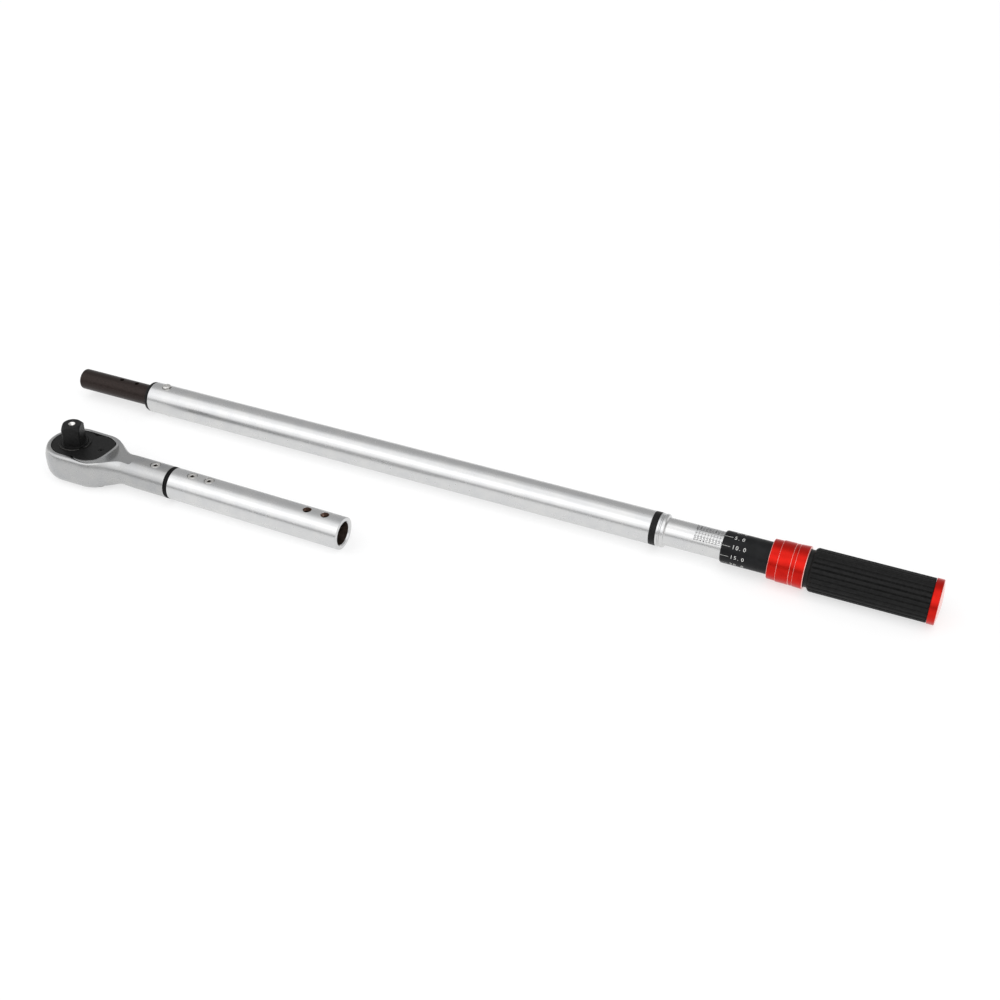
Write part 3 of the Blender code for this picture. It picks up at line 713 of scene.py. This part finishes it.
def mouth_ring():
    corners = [
        (RING_FRONT, 12.5, 0.2), (RING_FRONT, 16.1, 0.8), (RING_FRONT + 1.9, 16.7, 0.8), (TUBE_FRONT - 0.3, 16.7, 0.2),
        (TUBE_FRONT - 0.3, 13.2), (TUBE_FRONT + 3, 13.2), (TUBE_FRONT + 3, 12.5),
    ]
    finished(turned("mouth_ring_fine", corners, MAIN), "mouth_ring")


def barrel_ring():
    corners = [(689.4, 15.5), (689.4, TUBE_R, 0.35), (695.4, TUBE_R, 0.35), (695.4, 15.5)]
    finished(turned("barrel_ring_fine", corners, MAIN), "barrel_ring")


def barrel():
    """The scale barrel: a collar with a groove and a bulge, then the narrow plain part."""
    corners = [
        (BARREL_FRONT, 15.5), (BARREL_FRONT, TUBE_R, 0.35), (697.9, TUBE_R, 0.3), (698.3, 16.2, 0.3),
        (699.2, 16.2, 0.3), (700.2, TUBE_R, 0.9), (702.9, TUBE_R, 1.6), (704.4, BARREL_R, 2.0), (800, BARREL_R, 0.3),
        (800, 11.4), (701.7, 11.4), (701.7, 15.5),
    ]
    finished(turned("scale_barrel_fine", corners, MAIN), "scale_barrel")


def wrapped(name, shapes, radius, section, finish, node):
    """Flat shapes laid on a cylinder. Each shape is (station, angle, quarter turns, points and faces)."""
    points, faces = [], []
    for station, angle, turn, (flat, polygons) in shapes:
        first = len(points)
        c, s = math.cos(turn), math.sin(turn)
        for u, v in flat:
            along, across = c * u - s * v, s * u + c * v
            points.append(lift(station + along, angle + across / radius, radius))
        faces += [tuple(first + i for i in polygon) for polygon in polygons]
    piece = new_object(name, mesh_from(name, points, faces), section)
    thick = piece.modifiers.new("thick", "SOLIDIFY")
    thick.thickness = 0.06 * MM
    thick.offset = 0
    settle(piece)
    return finished(piece, node, finish, replace=False)


def bar_shape(length, width):
    """A straight mark along u, cut into short lengths so that it follows a curve."""
    steps = max(1, round(length / 0.6))
    flat = [(length * i / steps, side * width / 2) for i in range(steps + 1) for side in (-1, 1)]
    return flat, [(2 * i, 2 * i + 2, 2 * i + 3, 2 * i + 1) for i in range(steps)]


def text_shape(words, height, weight=0.0, spacing=1.12):
    """Numerals as flat points and faces, cut into narrow strips so that they follow a curve."""
    curve = bpy.data.curves.new("numeral", "FONT")
    curve.body = words
    curve.size = height * MM / 0.70
    curve.resolution_u = 3
    curve.offset = weight * MM
    curve.align_x = "CENTER"
    curve.align_y = "CENTER"
    curve.space_character = spacing
    holder = bpy.data.objects.new("numeral", curve)
    bpy.context.scene.collection.objects.link(holder)
    bpy.context.view_layer.update()
    mesh = bpy.data.meshes.new_from_object(holder.evaluated_get(bpy.context.evaluated_depsgraph_get()))
    bpy.data.objects.remove(holder)
    bm = bmesh.new()
    bm.from_mesh(mesh)
    bmesh.ops.remove_doubles(bm, verts=bm.verts, dist=1e-7)
    for direction in (Vector((1, 0, 0)), Vector((0, 1, 0))):
        reach = [v.co.dot(direction) for v in bm.verts]
        at = min(reach) + 0.5 * MM
        while at < max(reach):
            bmesh.ops.bisect_plane(bm, geom=[*bm.verts, *bm.edges, *bm.faces], plane_co=direction * at,
                                   plane_no=direction)
            at += 0.5 * MM
    bmesh.ops.triangulate(bm, faces=bm.faces)
    bm.verts.index_update()
    flat = [(v.co.x / MM, v.co.y / MM) for v in bm.verts]
    faces = [tuple(v.index for v in face.verts) for face in bm.faces]
    bm.free()
    bpy.data.meshes.remove(mesh)
    return flat, faces


def scales():
    """The barrel's line of turns with its two rows of numbers, and the thimble's ten divisions."""
    datum = math.radians(62)
    quarter = math.pi / 2
    shapes = [(THIMBLE_FRONT - TURN_PITCH * SCALE_TURNS - 1.5, datum, 0, bar_shape(29.5, 0.32))]
    for i in range(SCALE_TURNS + 1):
        station = THIMBLE_FRONT - TURN_PITCH * i
        torque = FIRST_TORQUE + TURN_TORQUE * i
        shapes.append((station, datum - 2.4 / BARREL_R, quarter, bar_shape(4.8, 0.3)))
        shapes.append((station, math.radians(41), quarter, text_shape(str(torque), 2.2, 0.07)))
        shapes.append((station, math.radians(92), quarter,
                       text_shape(f"{torque / OLDER_UNIT:.1f}", 2.2, 0.07, spacing=1.25)))
    wrapped("barrel_scale", shapes, BARREL_R, MAIN, "engraving", "scale_barrel")

    shapes = []
    for i in range(DIVISIONS):
        angle = math.radians(76 - 360 / DIVISIONS * (i - 1))
        shapes.append((THIMBLE_FRONT + 0.7, angle, 0, bar_shape(8.0, 0.3)))
        value = f"{TURN_TORQUE // DIVISIONS * i}.0"
        steps = (3.7, 3.0, 4.4, 0)  # from digit to digit, to the point, and on to the last digit
        at = THIMBLE_FRONT + 11.7
        for sign, step in zip(value, steps[-len(value):]):
            shapes.append((at, angle, 0, text_shape(sign, 4.0)))
            at += step
    wrapped("thimble_scale", shapes, THIMBLE_R, MAIN, "white_ink", "thimble")


def thimble():
    corners = [
        (THIMBLE_FRONT, 14.55), (THIMBLE_FRONT, THIMBLE_R - 0.75, 0.15), (THIMBLE_FRONT + 1.3, THIMBLE_R, 0.5),
        (THIMBLE_REAR, THIMBLE_R, 0.2), (THIMBLE_REAR, 14.55),
    ]
    finished(turned("thimble_fine", corners, MAIN), "thimble")


def collar():
    """The lock collar, in two steps, with pale pink painted highlights along the edges of its steps and grooves."""
    corners = [
        (COLLAR_FRONT, 16.45, 0.2), (COLLAR_FRONT, 19.75, 0.7), (817.2, 20.0, 0.15), (817.5, 20.6, 0.25),
        (829.6, 20.6, 0.2), (829.9, 20.25, 0.1), (830.5, 20.25, 0.1), (830.8, 20.6, 0.15),
        (832.6, 20.65, 0.15), (832.9, 20.3, 0.1), (833.5, 20.3, 0.1), (833.8, 20.7, 0.2),
        (843.0, 21.25, 0.35), (COLLAR_REAR, 20.75, 0.2), (COLLAR_REAR, 18.9, 0.2),
        (811.3, 18.9), (811.3, 16.45),
    ]
    piece = turned("lock_collar_fine", corners, MAIN)
    finished(piece, "lock_collar", extra=["red_turned_edge"])
    # Painted highlights: the pale pink goes on the step and groove faces near these stations.
    lines = ((COLLAR_FRONT, 0.8), (817.35, 0.4), (829.75, 0.35), (833.65, 0.35), (843.4, 0.35))
    paint(piece, 1, lambda at, normal: math.hypot(at.y, at.z) > 19.5 and any(
        abs(at.x - station) < reach and abs(normal.x) > 0.15 for station, reach in lines))


def handle():
    """The core, the grip on it and the end cap with its slightly domed face."""
    core = [
        (CORE_FRONT, 16.45), (CORE_FRONT, CORE_R, 0.4), (958, CORE_R), (958, 14.6), (948, 14.6), (948, 5.3),
        (935, 5.3), (935, 14.6), (846.3, 14.6), (846.3, 16.45),
    ]
    finished(turned("handle_core_fine", core, MAIN), "handle_core")
    grip()
    crown = 2.4
    rim_r = CAP_R - 0.5
    shares = (0.95, 0.9, 0.8, 0.7, 0.6, 0.5, 0.4, 0.3, 0.2, 0.1)  # of the rim's radius, down the dome
    cap = [
        (957, 11.3), (957, 14.3, 0.2), (958.3, 14.3), (958.3, 18.2), (960.2, 18.2), (960.2, CAP_R, 0.5),
        (CAP_REAR - crown - 0.6, CAP_R, 0.4), (CAP_REAR - crown, rim_r, 0.3),
        *((CAP_REAR - crown * share**2, rim_r * share) for share in shares), (CAP_REAR, 0), (961.5, 0), (961.5, 11.3),
    ]
    piece = turned("end_cap_fine", cap, MAIN)
    finished(piece, "end_cap", extra=["red_turned_edge"])
    # Painted reflection: the cap's domed end face takes the pale pink.
    paint(piece, 1, lambda at, normal: at.x > CAP_REAR - crown - 0.1)


def grip():
    """The moulded grip: broad rounded ribs with narrow grooves that run out at a chamfered front."""
    ribs = 26
    around = ribs * 14
    rib_top, groove_depth = 21.6, 1.05
    stations = [(0.0, 2.6), (0.5, 1.7), (1.5, 0.7), (2.4, 0.18), (3.2, 0.0)]
    length = GRIP_REAR - GRIP_FRONT
    stations += [(length * i / 12, 0.0) for i in range(1, 12)]
    stations += [(length - 0.6, 0.0), (length - 0.1, 0.35), (length, 0.6)]
    points, faces = [], []
    for station, drawn_in in stations:
        for i in range(around):
            share = (i / 14) % 1.0 - 0.5
            # flat-topped rib, falling steeply into a groove a quarter of the pitch wide
            groove = 1 / (1 + (abs(abs(share) - 0.5) / 0.115) ** 4)
            crown = 0.16 * (2 * share) ** 2
            radius = min(rib_top - groove_depth * groove - crown, rib_top - drawn_in)
            points.append(lift(GRIP_FRONT + station, 2 * math.pi * i / around, radius))
    rows = len(stations)
    for row in range(rows - 1):
        for i in range(around):
            a, b = row * around + i, row * around + (i + 1) % around
            faces.append((a, b, b + around, a + around))
    inner = len(points)
    for station in (0.0, length):
        points += [lift(GRIP_FRONT + station, 2 * math.pi * i / around, CORE_R + 0.3) for i in range(around)]
    for i in range(around):
        j = (i + 1) % around
        last = (rows - 1) * around
        faces.append((inner + i, inner + j, j, i))
        faces.append((last + i, last + j, inner + around + j, inner + around + i))
        faces.append((inner + around + i, inner + around + j, inner + j, inner + i))
    piece = new_object("grip_ribs", facing_out(mesh_from("grip_ribs", points, faces)), MAIN)
    finished(piece, "grip_sleeve", sharp=40)


# ---------------------------------------------------------------- head section


def weld(mesh):
    """Clear away the shortest edges that the cuts leave."""
    shortest = 0.03 * MM
    bm = bmesh.new()
    bm.from_mesh(mesh)
    bmesh.ops.remove_doubles(bm, verts=bm.verts, dist=shortest)
    bmesh.ops.dissolve_degenerate(bm, edges=bm.edges, dist=shortest)
    bm.to_mesh(mesh)
    bm.free()


def side_profile(outline):
    """A cutter through the whole width of the head from an outline of (station, height)."""
    cutter = stacked("cut", [(-45, outline), (45, outline)], HEAD)
    cutter.matrix_world = HEAD @ Matrix.Rotation(math.pi / 2, 4, "X")
    return cutter


def forging():
    """The net of the soft forging, with its top milled round the rim and its underside milled round the pad."""
    points, faces = surface_net(forging_field, (-34, -34, -25), (123.5, 34, 24), 0.62)
    mesh = mesh_from("head_forging", points.tolist(), faces.tolist())
    piece = new_object("head_forging", facing_out(mesh), HEAD)
    runout = [(73.0 + 3.4 * math.sin(a), 17.4 - 3.4 * math.cos(a)) for a in (math.pi / 2 * i / 8 for i in range(9))]
    flat = side_profile([(12, 15.1), (32, 14.0), *runout, (76.4, 40), (12, 40)])
    rim = circle(25.3, FINE, (23.9, 0))
    combine(flat, [stacked("rim", [(13, rim), (41, rim)], HEAD)])
    below = side_profile([(41.5, STEP_UNDERSIDE), (62, STEP_UNDERSIDE - 3.8), (62, -34), (41.5, -34)])
    pad = circle(PAD_R, FINE, (HEAD_LENGTH, 0))
    combine(below, [stacked("pad", [(-40, pad), (-10, pad)], HEAD)])
    under = side_profile([(-40, PAD_UNDERSIDE), (60, PAD_UNDERSIDE), (60, -36), (-40, -36)])
    seat = racetrack(24.3, 23.8, PLATE_LOBE_AT)
    wide = racetrack(24.75, 24.25, PLATE_LOBE_AT)
    gear_chamber = circle(19.8)
    pawl_chamber = circle(18.2, 64, (26, 0))
    recess, recess_mouth = circle(11.2, 64, (PAWL_AT, 0)), circle(11.9, 64, (PAWL_AT, 0))
    cutters = [
        flat,
        below,
        under,
        stacked("cut", [(12.0, seat), (14.55, seat), (15.05, wide), (22, wide)], HEAD),
        stacked("cut", [(-13, gear_chamber), (13, gear_chamber)], HEAD),
        stacked("cut", [(-11.5, pawl_chamber), (12.6, pawl_chamber)], HEAD),
        stacked("cut", [(-23, recess_mouth), (-18.9, recess), (-14.6, recess)], HEAD),
        turned("cut", [(NECK_END, 0), (NECK_END, NECK_R - 0.4), (NECK_END - 0.7, NECK_R + 0.3), (NECK_END - 0.7, 20),
                       (NECK_END + 8, 20), (NECK_END + 8, 0)], HEAD),
        turned("cut", [(70, 0), (70, BORE_R), (NECK_END - 0.8, BORE_R), (NECK_END + 1, BORE_R + 1.6),
                       (NECK_END + 1, 0)], HEAD),
        screw_hole(SET_SCREWS["neck_screw"]),
    ]
    combine(piece, cutters)
    weld(piece.data)
    finished(piece, "ratchet_head", "forged_chrome", extra=["dark_bore", "black_oxide"], sharp=58)
    follow_field(piece.data, forging_field)
    # Painted shade: the bore inside the neck takes the near-black bore colour.
    paint(piece, 1, lambda at, normal: at.x > 71 and math.hypot(at.y, at.z) < 12.2)
    # Painted shade: the seat's floor and walls round the cover plate take the black oxide colour, for the shade in the
    # gap between plate and head.
    paint(piece, 2, lambda at, normal: at.x < 50 and 11.9 < at.z < 14.6 and (normal.z > 0.9 or abs(normal.z) < 0.1)
          and math.hypot(max(0, abs(at.x - PLATE_LOBE_AT / 2) - PLATE_LOBE_AT / 2), at.y) < 24.5)


def screw_hole(at_x):
    return turned("cut", [(8, 0), (8, 5.3), (16.2, 5.3), (17.6, 6.1), (17.6, 0)], HEAD, SMALL,
                  (at_x, 0, 0), True)


def cover_plate():
    """The plate over the chamber, its screw, and the split ring round the hub."""
    def outline(inset):
        return two_lobes(23.9 - inset, 23.4 - inset, PLATE_LOBE_AT)

    levels = [(12.3, outline(0)), (14.2, outline(0)), (14.4, outline(0.1)), (14.55, outline(0.3)),
              (14.6, outline(0.6))]
    plate = stacked("cover_plate_fine", levels, HEAD)
    cutters = [
        turned("cut", [(10, 0), (10, 14.0), (14.2, 14.0), (15.2, 14.9), (15.2, 0)], HEAD, 96, upright=True),
        turned("cut", [(10, 0), (10, 2.8), (18, 2.8), (18, 0)], HEAD, SMALL, (PAWL_AT, 0, 0), True),
    ]
    combine(plate, cutters)
    finished(plate, "cover_plate")

    screw = turned("cover_screw_fine", [(12.4, 0), (12.4, 2.5), (14.5, 2.5, 0.25), (14.5, 0)], HEAD, SMALL,
                   (PAWL_AT, 0, 0), True)
    hexagon = circle(1.35, 6)
    combine(screw, [stacked("cut", [(13.2, hexagon), (17, hexagon)], HEAD, (PAWL_AT, 0, 0))])
    finished(screw, "cover_screw")

    ring = turned("retaining_ring_fine", [(14.9, 14.1), (14.9, 16.6, 0.2), (16.0, 16.6, 0.3), (16.0, 14.1, 0.2)],
                  HEAD, 128, upright=True)
    split = [(10, -2.5), (20, -2.5), (20, 2.5), (10, 2.5)]
    cutter = stacked("cut", [(14, split), (19, split)], HEAD)
    cutter.matrix_world = HEAD @ Matrix.Rotation(-0.5, 4, "Z")
    combine(ring, [cutter])
    finished(ring, "retaining_ring", extra=["worn_edge"])
    # The retaining ring's outer face takes the patchy grey.
    paint(ring, 1, lambda at, normal: abs(normal.x) < 0.85 and math.hypot(at.y, at.z) > 16.2)


def square_drive():
    """Gear, hub and square in one piece, with a drilled centre, and the ball in its flat."""
    teeth, tip_r, root_r = 32, 19.2, 17.4
    outline = []
    for i in range(teeth):
        for share, radius in ((0.0, root_r), (0.42, tip_r), (0.58, tip_r)):
            a = 2 * math.pi * (i + share) / teeth
            outline.append((radius * math.cos(a), radius * math.sin(a)))
    gear = stacked("drive_gear_fine", [(-12.6, outline), (11.7, outline)], DRIVE)
    hub = turned("hub", [(-15.7, 0), (-15.7, 11.6, 0.3), (-11, 11.6), (-11, 8), (5, 8), (5, 13.7),
                         (16.5, 13.7, 0.3), (16.5, 0)], DRIVE, 96, upright=True)
    half = DRIVE_HALF
    corner = 0.35
    square = [
        (sx * (half - (corner if flip else 0)), sy * (half - (0 if flip else corner)))
        for sx, sy, flip in ((1, -1, 1), (1, -1, 0), (1, 1, 0), (1, 1, 1),
                             (-1, 1, 1), (-1, 1, 0), (-1, -1, 0), (-1, -1, 1))
    ]
    post = stacked("post", [(8, square), (DRIVE_TOP + 3, square)], DRIVE)
    rounding = [(5, 0), (5, 12.6), (DRIVE_TOP - 3.6, 12.6, 1.2), (DRIVE_TOP - 0.5, 9.9, 0.8), (DRIVE_TOP, 9.2, 0.6),
                (DRIVE_TOP, 0)]
    combine(post, [turned("rounding", rounding, DRIVE, 96, upright=True)], "INTERSECT")
    combine(gear, [hub, post], "UNION")
    drilled = turned("cut", [(DRIVE_TOP - 2.7, 0), (DRIVE_TOP - 2.5, 0.9), (DRIVE_TOP - 0.3, 3.3, 0.3),
                             (DRIVE_TOP + 1, 4.2), (DRIVE_TOP + 1, 0)], DRIVE, 64, upright=True)
    ball_hole = new_object("cut", turned_mesh("cut", [(1.2, 0), (1.2, 3.0), (14, 3.0), (14, 0)], SMALL),
                           DRIVE @ Matrix.Translation((0, 0, 27 * MM)) @ Matrix.Rotation(math.pi / 2, 4, "Z"))
    combine(gear, [drilled, ball_hole])
    finished(gear, "drive_gear", extra=["bright_steel"])
    paint(gear, 1, lambda at, normal: at.z > DRIVE_TOP - 3 and math.hypot(at.x, at.y) < 3.75)

    ball = bpy.data.meshes.new("detent_ball_fine")
    bm = bmesh.new()
    bmesh.ops.create_uvsphere(bm, u_segments=40, v_segments=24, radius=2.7 * MM)
    bm.to_mesh(ball)
    bm.free()
    piece = new_object("detent_ball_fine", ball, DRIVE @ Matrix.Translation(Vector((0, DRIVE_HALF - 1.7, 27)) * MM))
    finished(piece, "detent_ball")


def reverse_lever():
    """The selector in the head's underside, with a finger tab whose end is crowned."""
    under = PAD_UNDERSIDE + 0.2
    knob = turned("reverse_lever_fine", [(under, 0), (under, 7.5, 0.5), (-14.9, 7.5, 0.3), (-14.9, 3.0),
                                         (10.6, 3.0, 0.4), (10.6, 0)], HEAD, 72, (PAWL_AT, 0, 0), True)
    tab = [(0, -3.2), (9.4, -2.5), (10.3, -1.7), (10.6, -0.6), (10.6, 0.6), (10.3, 1.7), (9.4, 2.5), (0, 3.2)]
    small = [(x * 0.97, y * 0.86) for x, y in tab]
    levels = [(under, small), (under + 0.4, tab), (-16.0, tab), (-15.7, small)]
    combine(knob, [stacked("tab", levels, HEAD, (PAWL_AT, 0, 0))], "UNION")
    bore = turned_mesh("cut", [(-9, 0), (-9, 1.5), (-2, 1.5), (-2, 0)], SMALL)
    cutter = new_object("cut", bore, HEAD @ Matrix.Translation(Vector((PAWL_AT, 0, -17.2)) * MM))
    combine(knob, [cutter])
    finished(knob, "reverse_lever")


def set_screw(name, at_x):
    """A flush screw with a small hexagon socket, with painted shade inside."""
    screw = turned(f"{name}_fine", [(12.3, 0), (12.3, 5.0, 0.4), (16.2, 5.0, 0.45), (16.2, 0)], HEAD, SMALL,
                   (at_x, 0, 0), True)
    socket = [(13.2, circle(2.2, 6)), (15.85, circle(2.2, 6)), (16.4, circle(2.6, 6))]
    combine(screw, [stacked("cut", socket, HEAD, (at_x, 0, 0))])
    finished(screw, name, extra=["dark_bore"])
    low = 15.6
    # Painted shade: the socket's walls and floor take the near-black bore colour.
    paint(screw, 1, lambda at, normal: at.x < low and math.hypot(at.y, at.z) < 2.4)


def spacer_ring():
    """The rubber ring between neck and sleeve, with two grooves."""
    low, high = NECK_END + 0.3, SLEEVE_FRONT - 0.3
    middle = (low + high) / 2
    corners = [(low, BORE_R), (low, NECK_R, 0.35)]
    for centre in (middle - 0.95, middle + 0.95):
        corners += [(centre - 0.5, NECK_R, 0.2), (centre - 0.25, NECK_R - 0.7, 0.2),
                    (centre + 0.25, NECK_R - 0.7, 0.2), (centre + 0.5, NECK_R, 0.2)]
    corners += [(high, NECK_R, 0.35), (high, BORE_R)]
    finished(turned("spacer_ring_fine", corners, HEAD), "spacer_ring")


def extension_sleeve():
    """The sleeve with two screw holes near the neck and two open holes near its mouth."""
    corners = [
        (SLEEVE_FRONT, BORE_R), (SLEEVE_FRONT, NECK_R, 0.45), (SLEEVE_MOUTH, NECK_R, 0.75),
        (SLEEVE_MOUTH, BORE_R + 1.0, 0.15), (SLEEVE_MOUTH - 1.3, BORE_R, 0.15),
    ]
    sleeve = turned("extension_sleeve_fine", corners, HEAD)
    cutters = [screw_hole(SET_SCREWS[name]) for name in ("sleeve_screw_1", "sleeve_screw_2")]
    cutters += [
        turned("cut", [(6, 0), (6, 4.3), (16.3, 4.3), (17.4, 5.0), (17.4, 0)], HEAD, SMALL, (at, 0, 0), True)
        for at in OPEN_HOLES
    ]
    combine(sleeve, cutters)
    finished(sleeve, "extension_sleeve", extra=["dark_bore", "bare_hole_wall"])
    # Painted shade: the sleeve's bore takes the near-black bore colour.
    paint(sleeve, 1, lambda at, normal: math.hypot(at.y, at.z) < BORE_R + 0.1)
    paint(sleeve, 2, lambda at, normal: at.x > 250 and abs(normal.z) < 0.35 and abs(normal.x) + abs(normal.y) > 0.9
          and at.z > 10 and math.hypot(at.x - min(OPEN_HOLES, key=lambda h: abs(h - at.x)), at.y) < 4.5)


def inner_pieces():
    """The pieces inside, and the small ones that keep their CAD shape, take a finish only."""
    for name, node in frame["nodes"].items():
        if node.hide_render:
            continue
        finish = FINISHES[SLOT_FINISH[NODE_SLOT[name]]]
        for slot in node.material_slots:
            slot.material = finish


# ---------------------------------------------------------------- studio and camera

FLOOR_SIZE = 14.0
CAMERA_AT = MAIN.translation + Vector((0.97326, -1.05915, 0.79741))
CAMERA_YAW = 0.401523
CAMERA_PITCH = 0.614543
CAMERA_ROLL = 0.021962
CAMERA_LENS = 48.92


def floor():
    mesh = bpy.data.meshes.new("floor")
    half = FLOOR_SIZE / 2
    mesh.from_pydata([(-half, -half, 0), (half, -half, 0), (half, half, 0), (-half, half, 0)], [], [(0, 1, 2, 3)])
    obj = bpy.data.objects.new("floor", mesh)
    bpy.context.scene.collection.objects.link(obj)
    obj.location.z = cad_box[0][2] - 0.0002
    paper = bpy.data.materials.new("white_paper")
    paper.use_nodes = True
    shader = paper.node_tree.nodes["Principled BSDF"]
    shader.inputs["Base Color"].default_value = (0.4, 0.4, 0.4, 1)
    shader.inputs["Roughness"].default_value = 0.95
    shader.inputs["Specular IOR Level"].default_value = 0.1
    shader.inputs["Emission Color"].default_value = (1, 1, 1, 1)
    shader.inputs["Emission Strength"].default_value = 0.62
    mesh.materials.append(paper)


def area_light(name, at, target, size, power):
    data = bpy.data.lights.new(name, "AREA")
    data.shape = "RECTANGLE"
    data.size, data.size_y = size
    data.energy = power
    obj = bpy.data.objects.new(name, data)
    bpy.context.scene.collection.objects.link(obj)
    obj.location = at
    obj.rotation_euler = (Vector(target) - Vector(at)).to_track_quat("-Z", "Y").to_euler()


def studio():
    """A bright tent overhead and to the front, grey behind, and a dark strip at the front horizon."""
    world = bpy.data.worlds.new("studio")
    bpy.context.scene.world = world
    world.use_nodes = True
    nodes, links = world.node_tree.nodes, world.node_tree.links
    place = nodes.new("ShaderNodeTexCoord")
    split = nodes.new("ShaderNodeSeparateXYZ")
    links.new(place.outputs["Generated"], split.inputs["Vector"])
    # the angle round the X axis, from 0 at the front horizon through 0.5 overhead to 1 behind
    angle = nodes.new("ShaderNodeMath")
    angle.operation = "ARCTAN2"
    front = nodes.new("ShaderNodeMath")
    front.operation = "MULTIPLY"
    front.inputs[1].default_value = -1
    links.new(split.outputs["Y"], front.inputs[0])
    links.new(split.outputs["Z"], angle.inputs[0])
    links.new(front.outputs["Value"], angle.inputs[1])
    spread = nodes.new("ShaderNodeMapRange")
    spread.inputs["From Min"].default_value = 0
    spread.inputs["From Max"].default_value = math.pi
    links.new(angle.outputs["Value"], spread.inputs["Value"])
    ramp = nodes.new("ShaderNodeValToRGB")
    links.new(spread.outputs["Result"], ramp.inputs["Fac"])
    stops = [(0.0, 0.24), (0.05, 0.28), (0.11, 1.0), (0.30, 1.0), (0.49, 0.96), (0.56, 0.44), (0.80, 0.40),
             (1.0, 0.42)]
    while len(ramp.color_ramp.elements) < len(stops):
        ramp.color_ramp.elements.new(0.5)
    for element, (position, value) in zip(ramp.color_ramp.elements, stops):
        element.position = position
        element.color = (value, value, value * 1.005, 1)
    background = nodes["Background"]
    background.inputs["Strength"].default_value = 1.35
    links.new(ramp.outputs["Color"], background.inputs["Color"])
    area_light("key", (-0.3, -1.3, 1.5), (0, 0, 0), (2.4, 0.9), 3)
    area_light("top", (0.1, 0.2, 1.9), (0, 0, 0), (2.2, 1.0), 2)


def camera():
    data = bpy.data.cameras.new("camera")
    data.lens = CAMERA_LENS
    data.sensor_width = 36
    obj = bpy.data.objects.new("camera", data)
    bpy.context.scene.collection.objects.link(obj)
    turn = Matrix.Rotation(CAMERA_YAW, 4, "Z") @ Matrix.Rotation(math.pi / 2 - CAMERA_PITCH, 4, "X")
    obj.matrix_world = Matrix.Translation(CAMERA_AT) @ turn @ Matrix.Rotation(CAMERA_ROLL, 4, "Z")
    bpy.context.scene.camera = obj
    bpy.context.scene.view_settings.view_transform = "Standard"


def build():
    spar()
    tube()
    pivot_pin()
    mouth_ring()
    barrel_ring()
    barrel()
    thimble()
    scales()
    collar()
    handle()
    forging()
    cover_plate()
    square_drive()
    reverse_lever()
    for name, at_x in SET_SCREWS.items():
        set_screw(name, at_x)
    spacer_ring()
    extension_sleeve()
    inner_pieces()
    floor()
    studio()
    camera()


build()
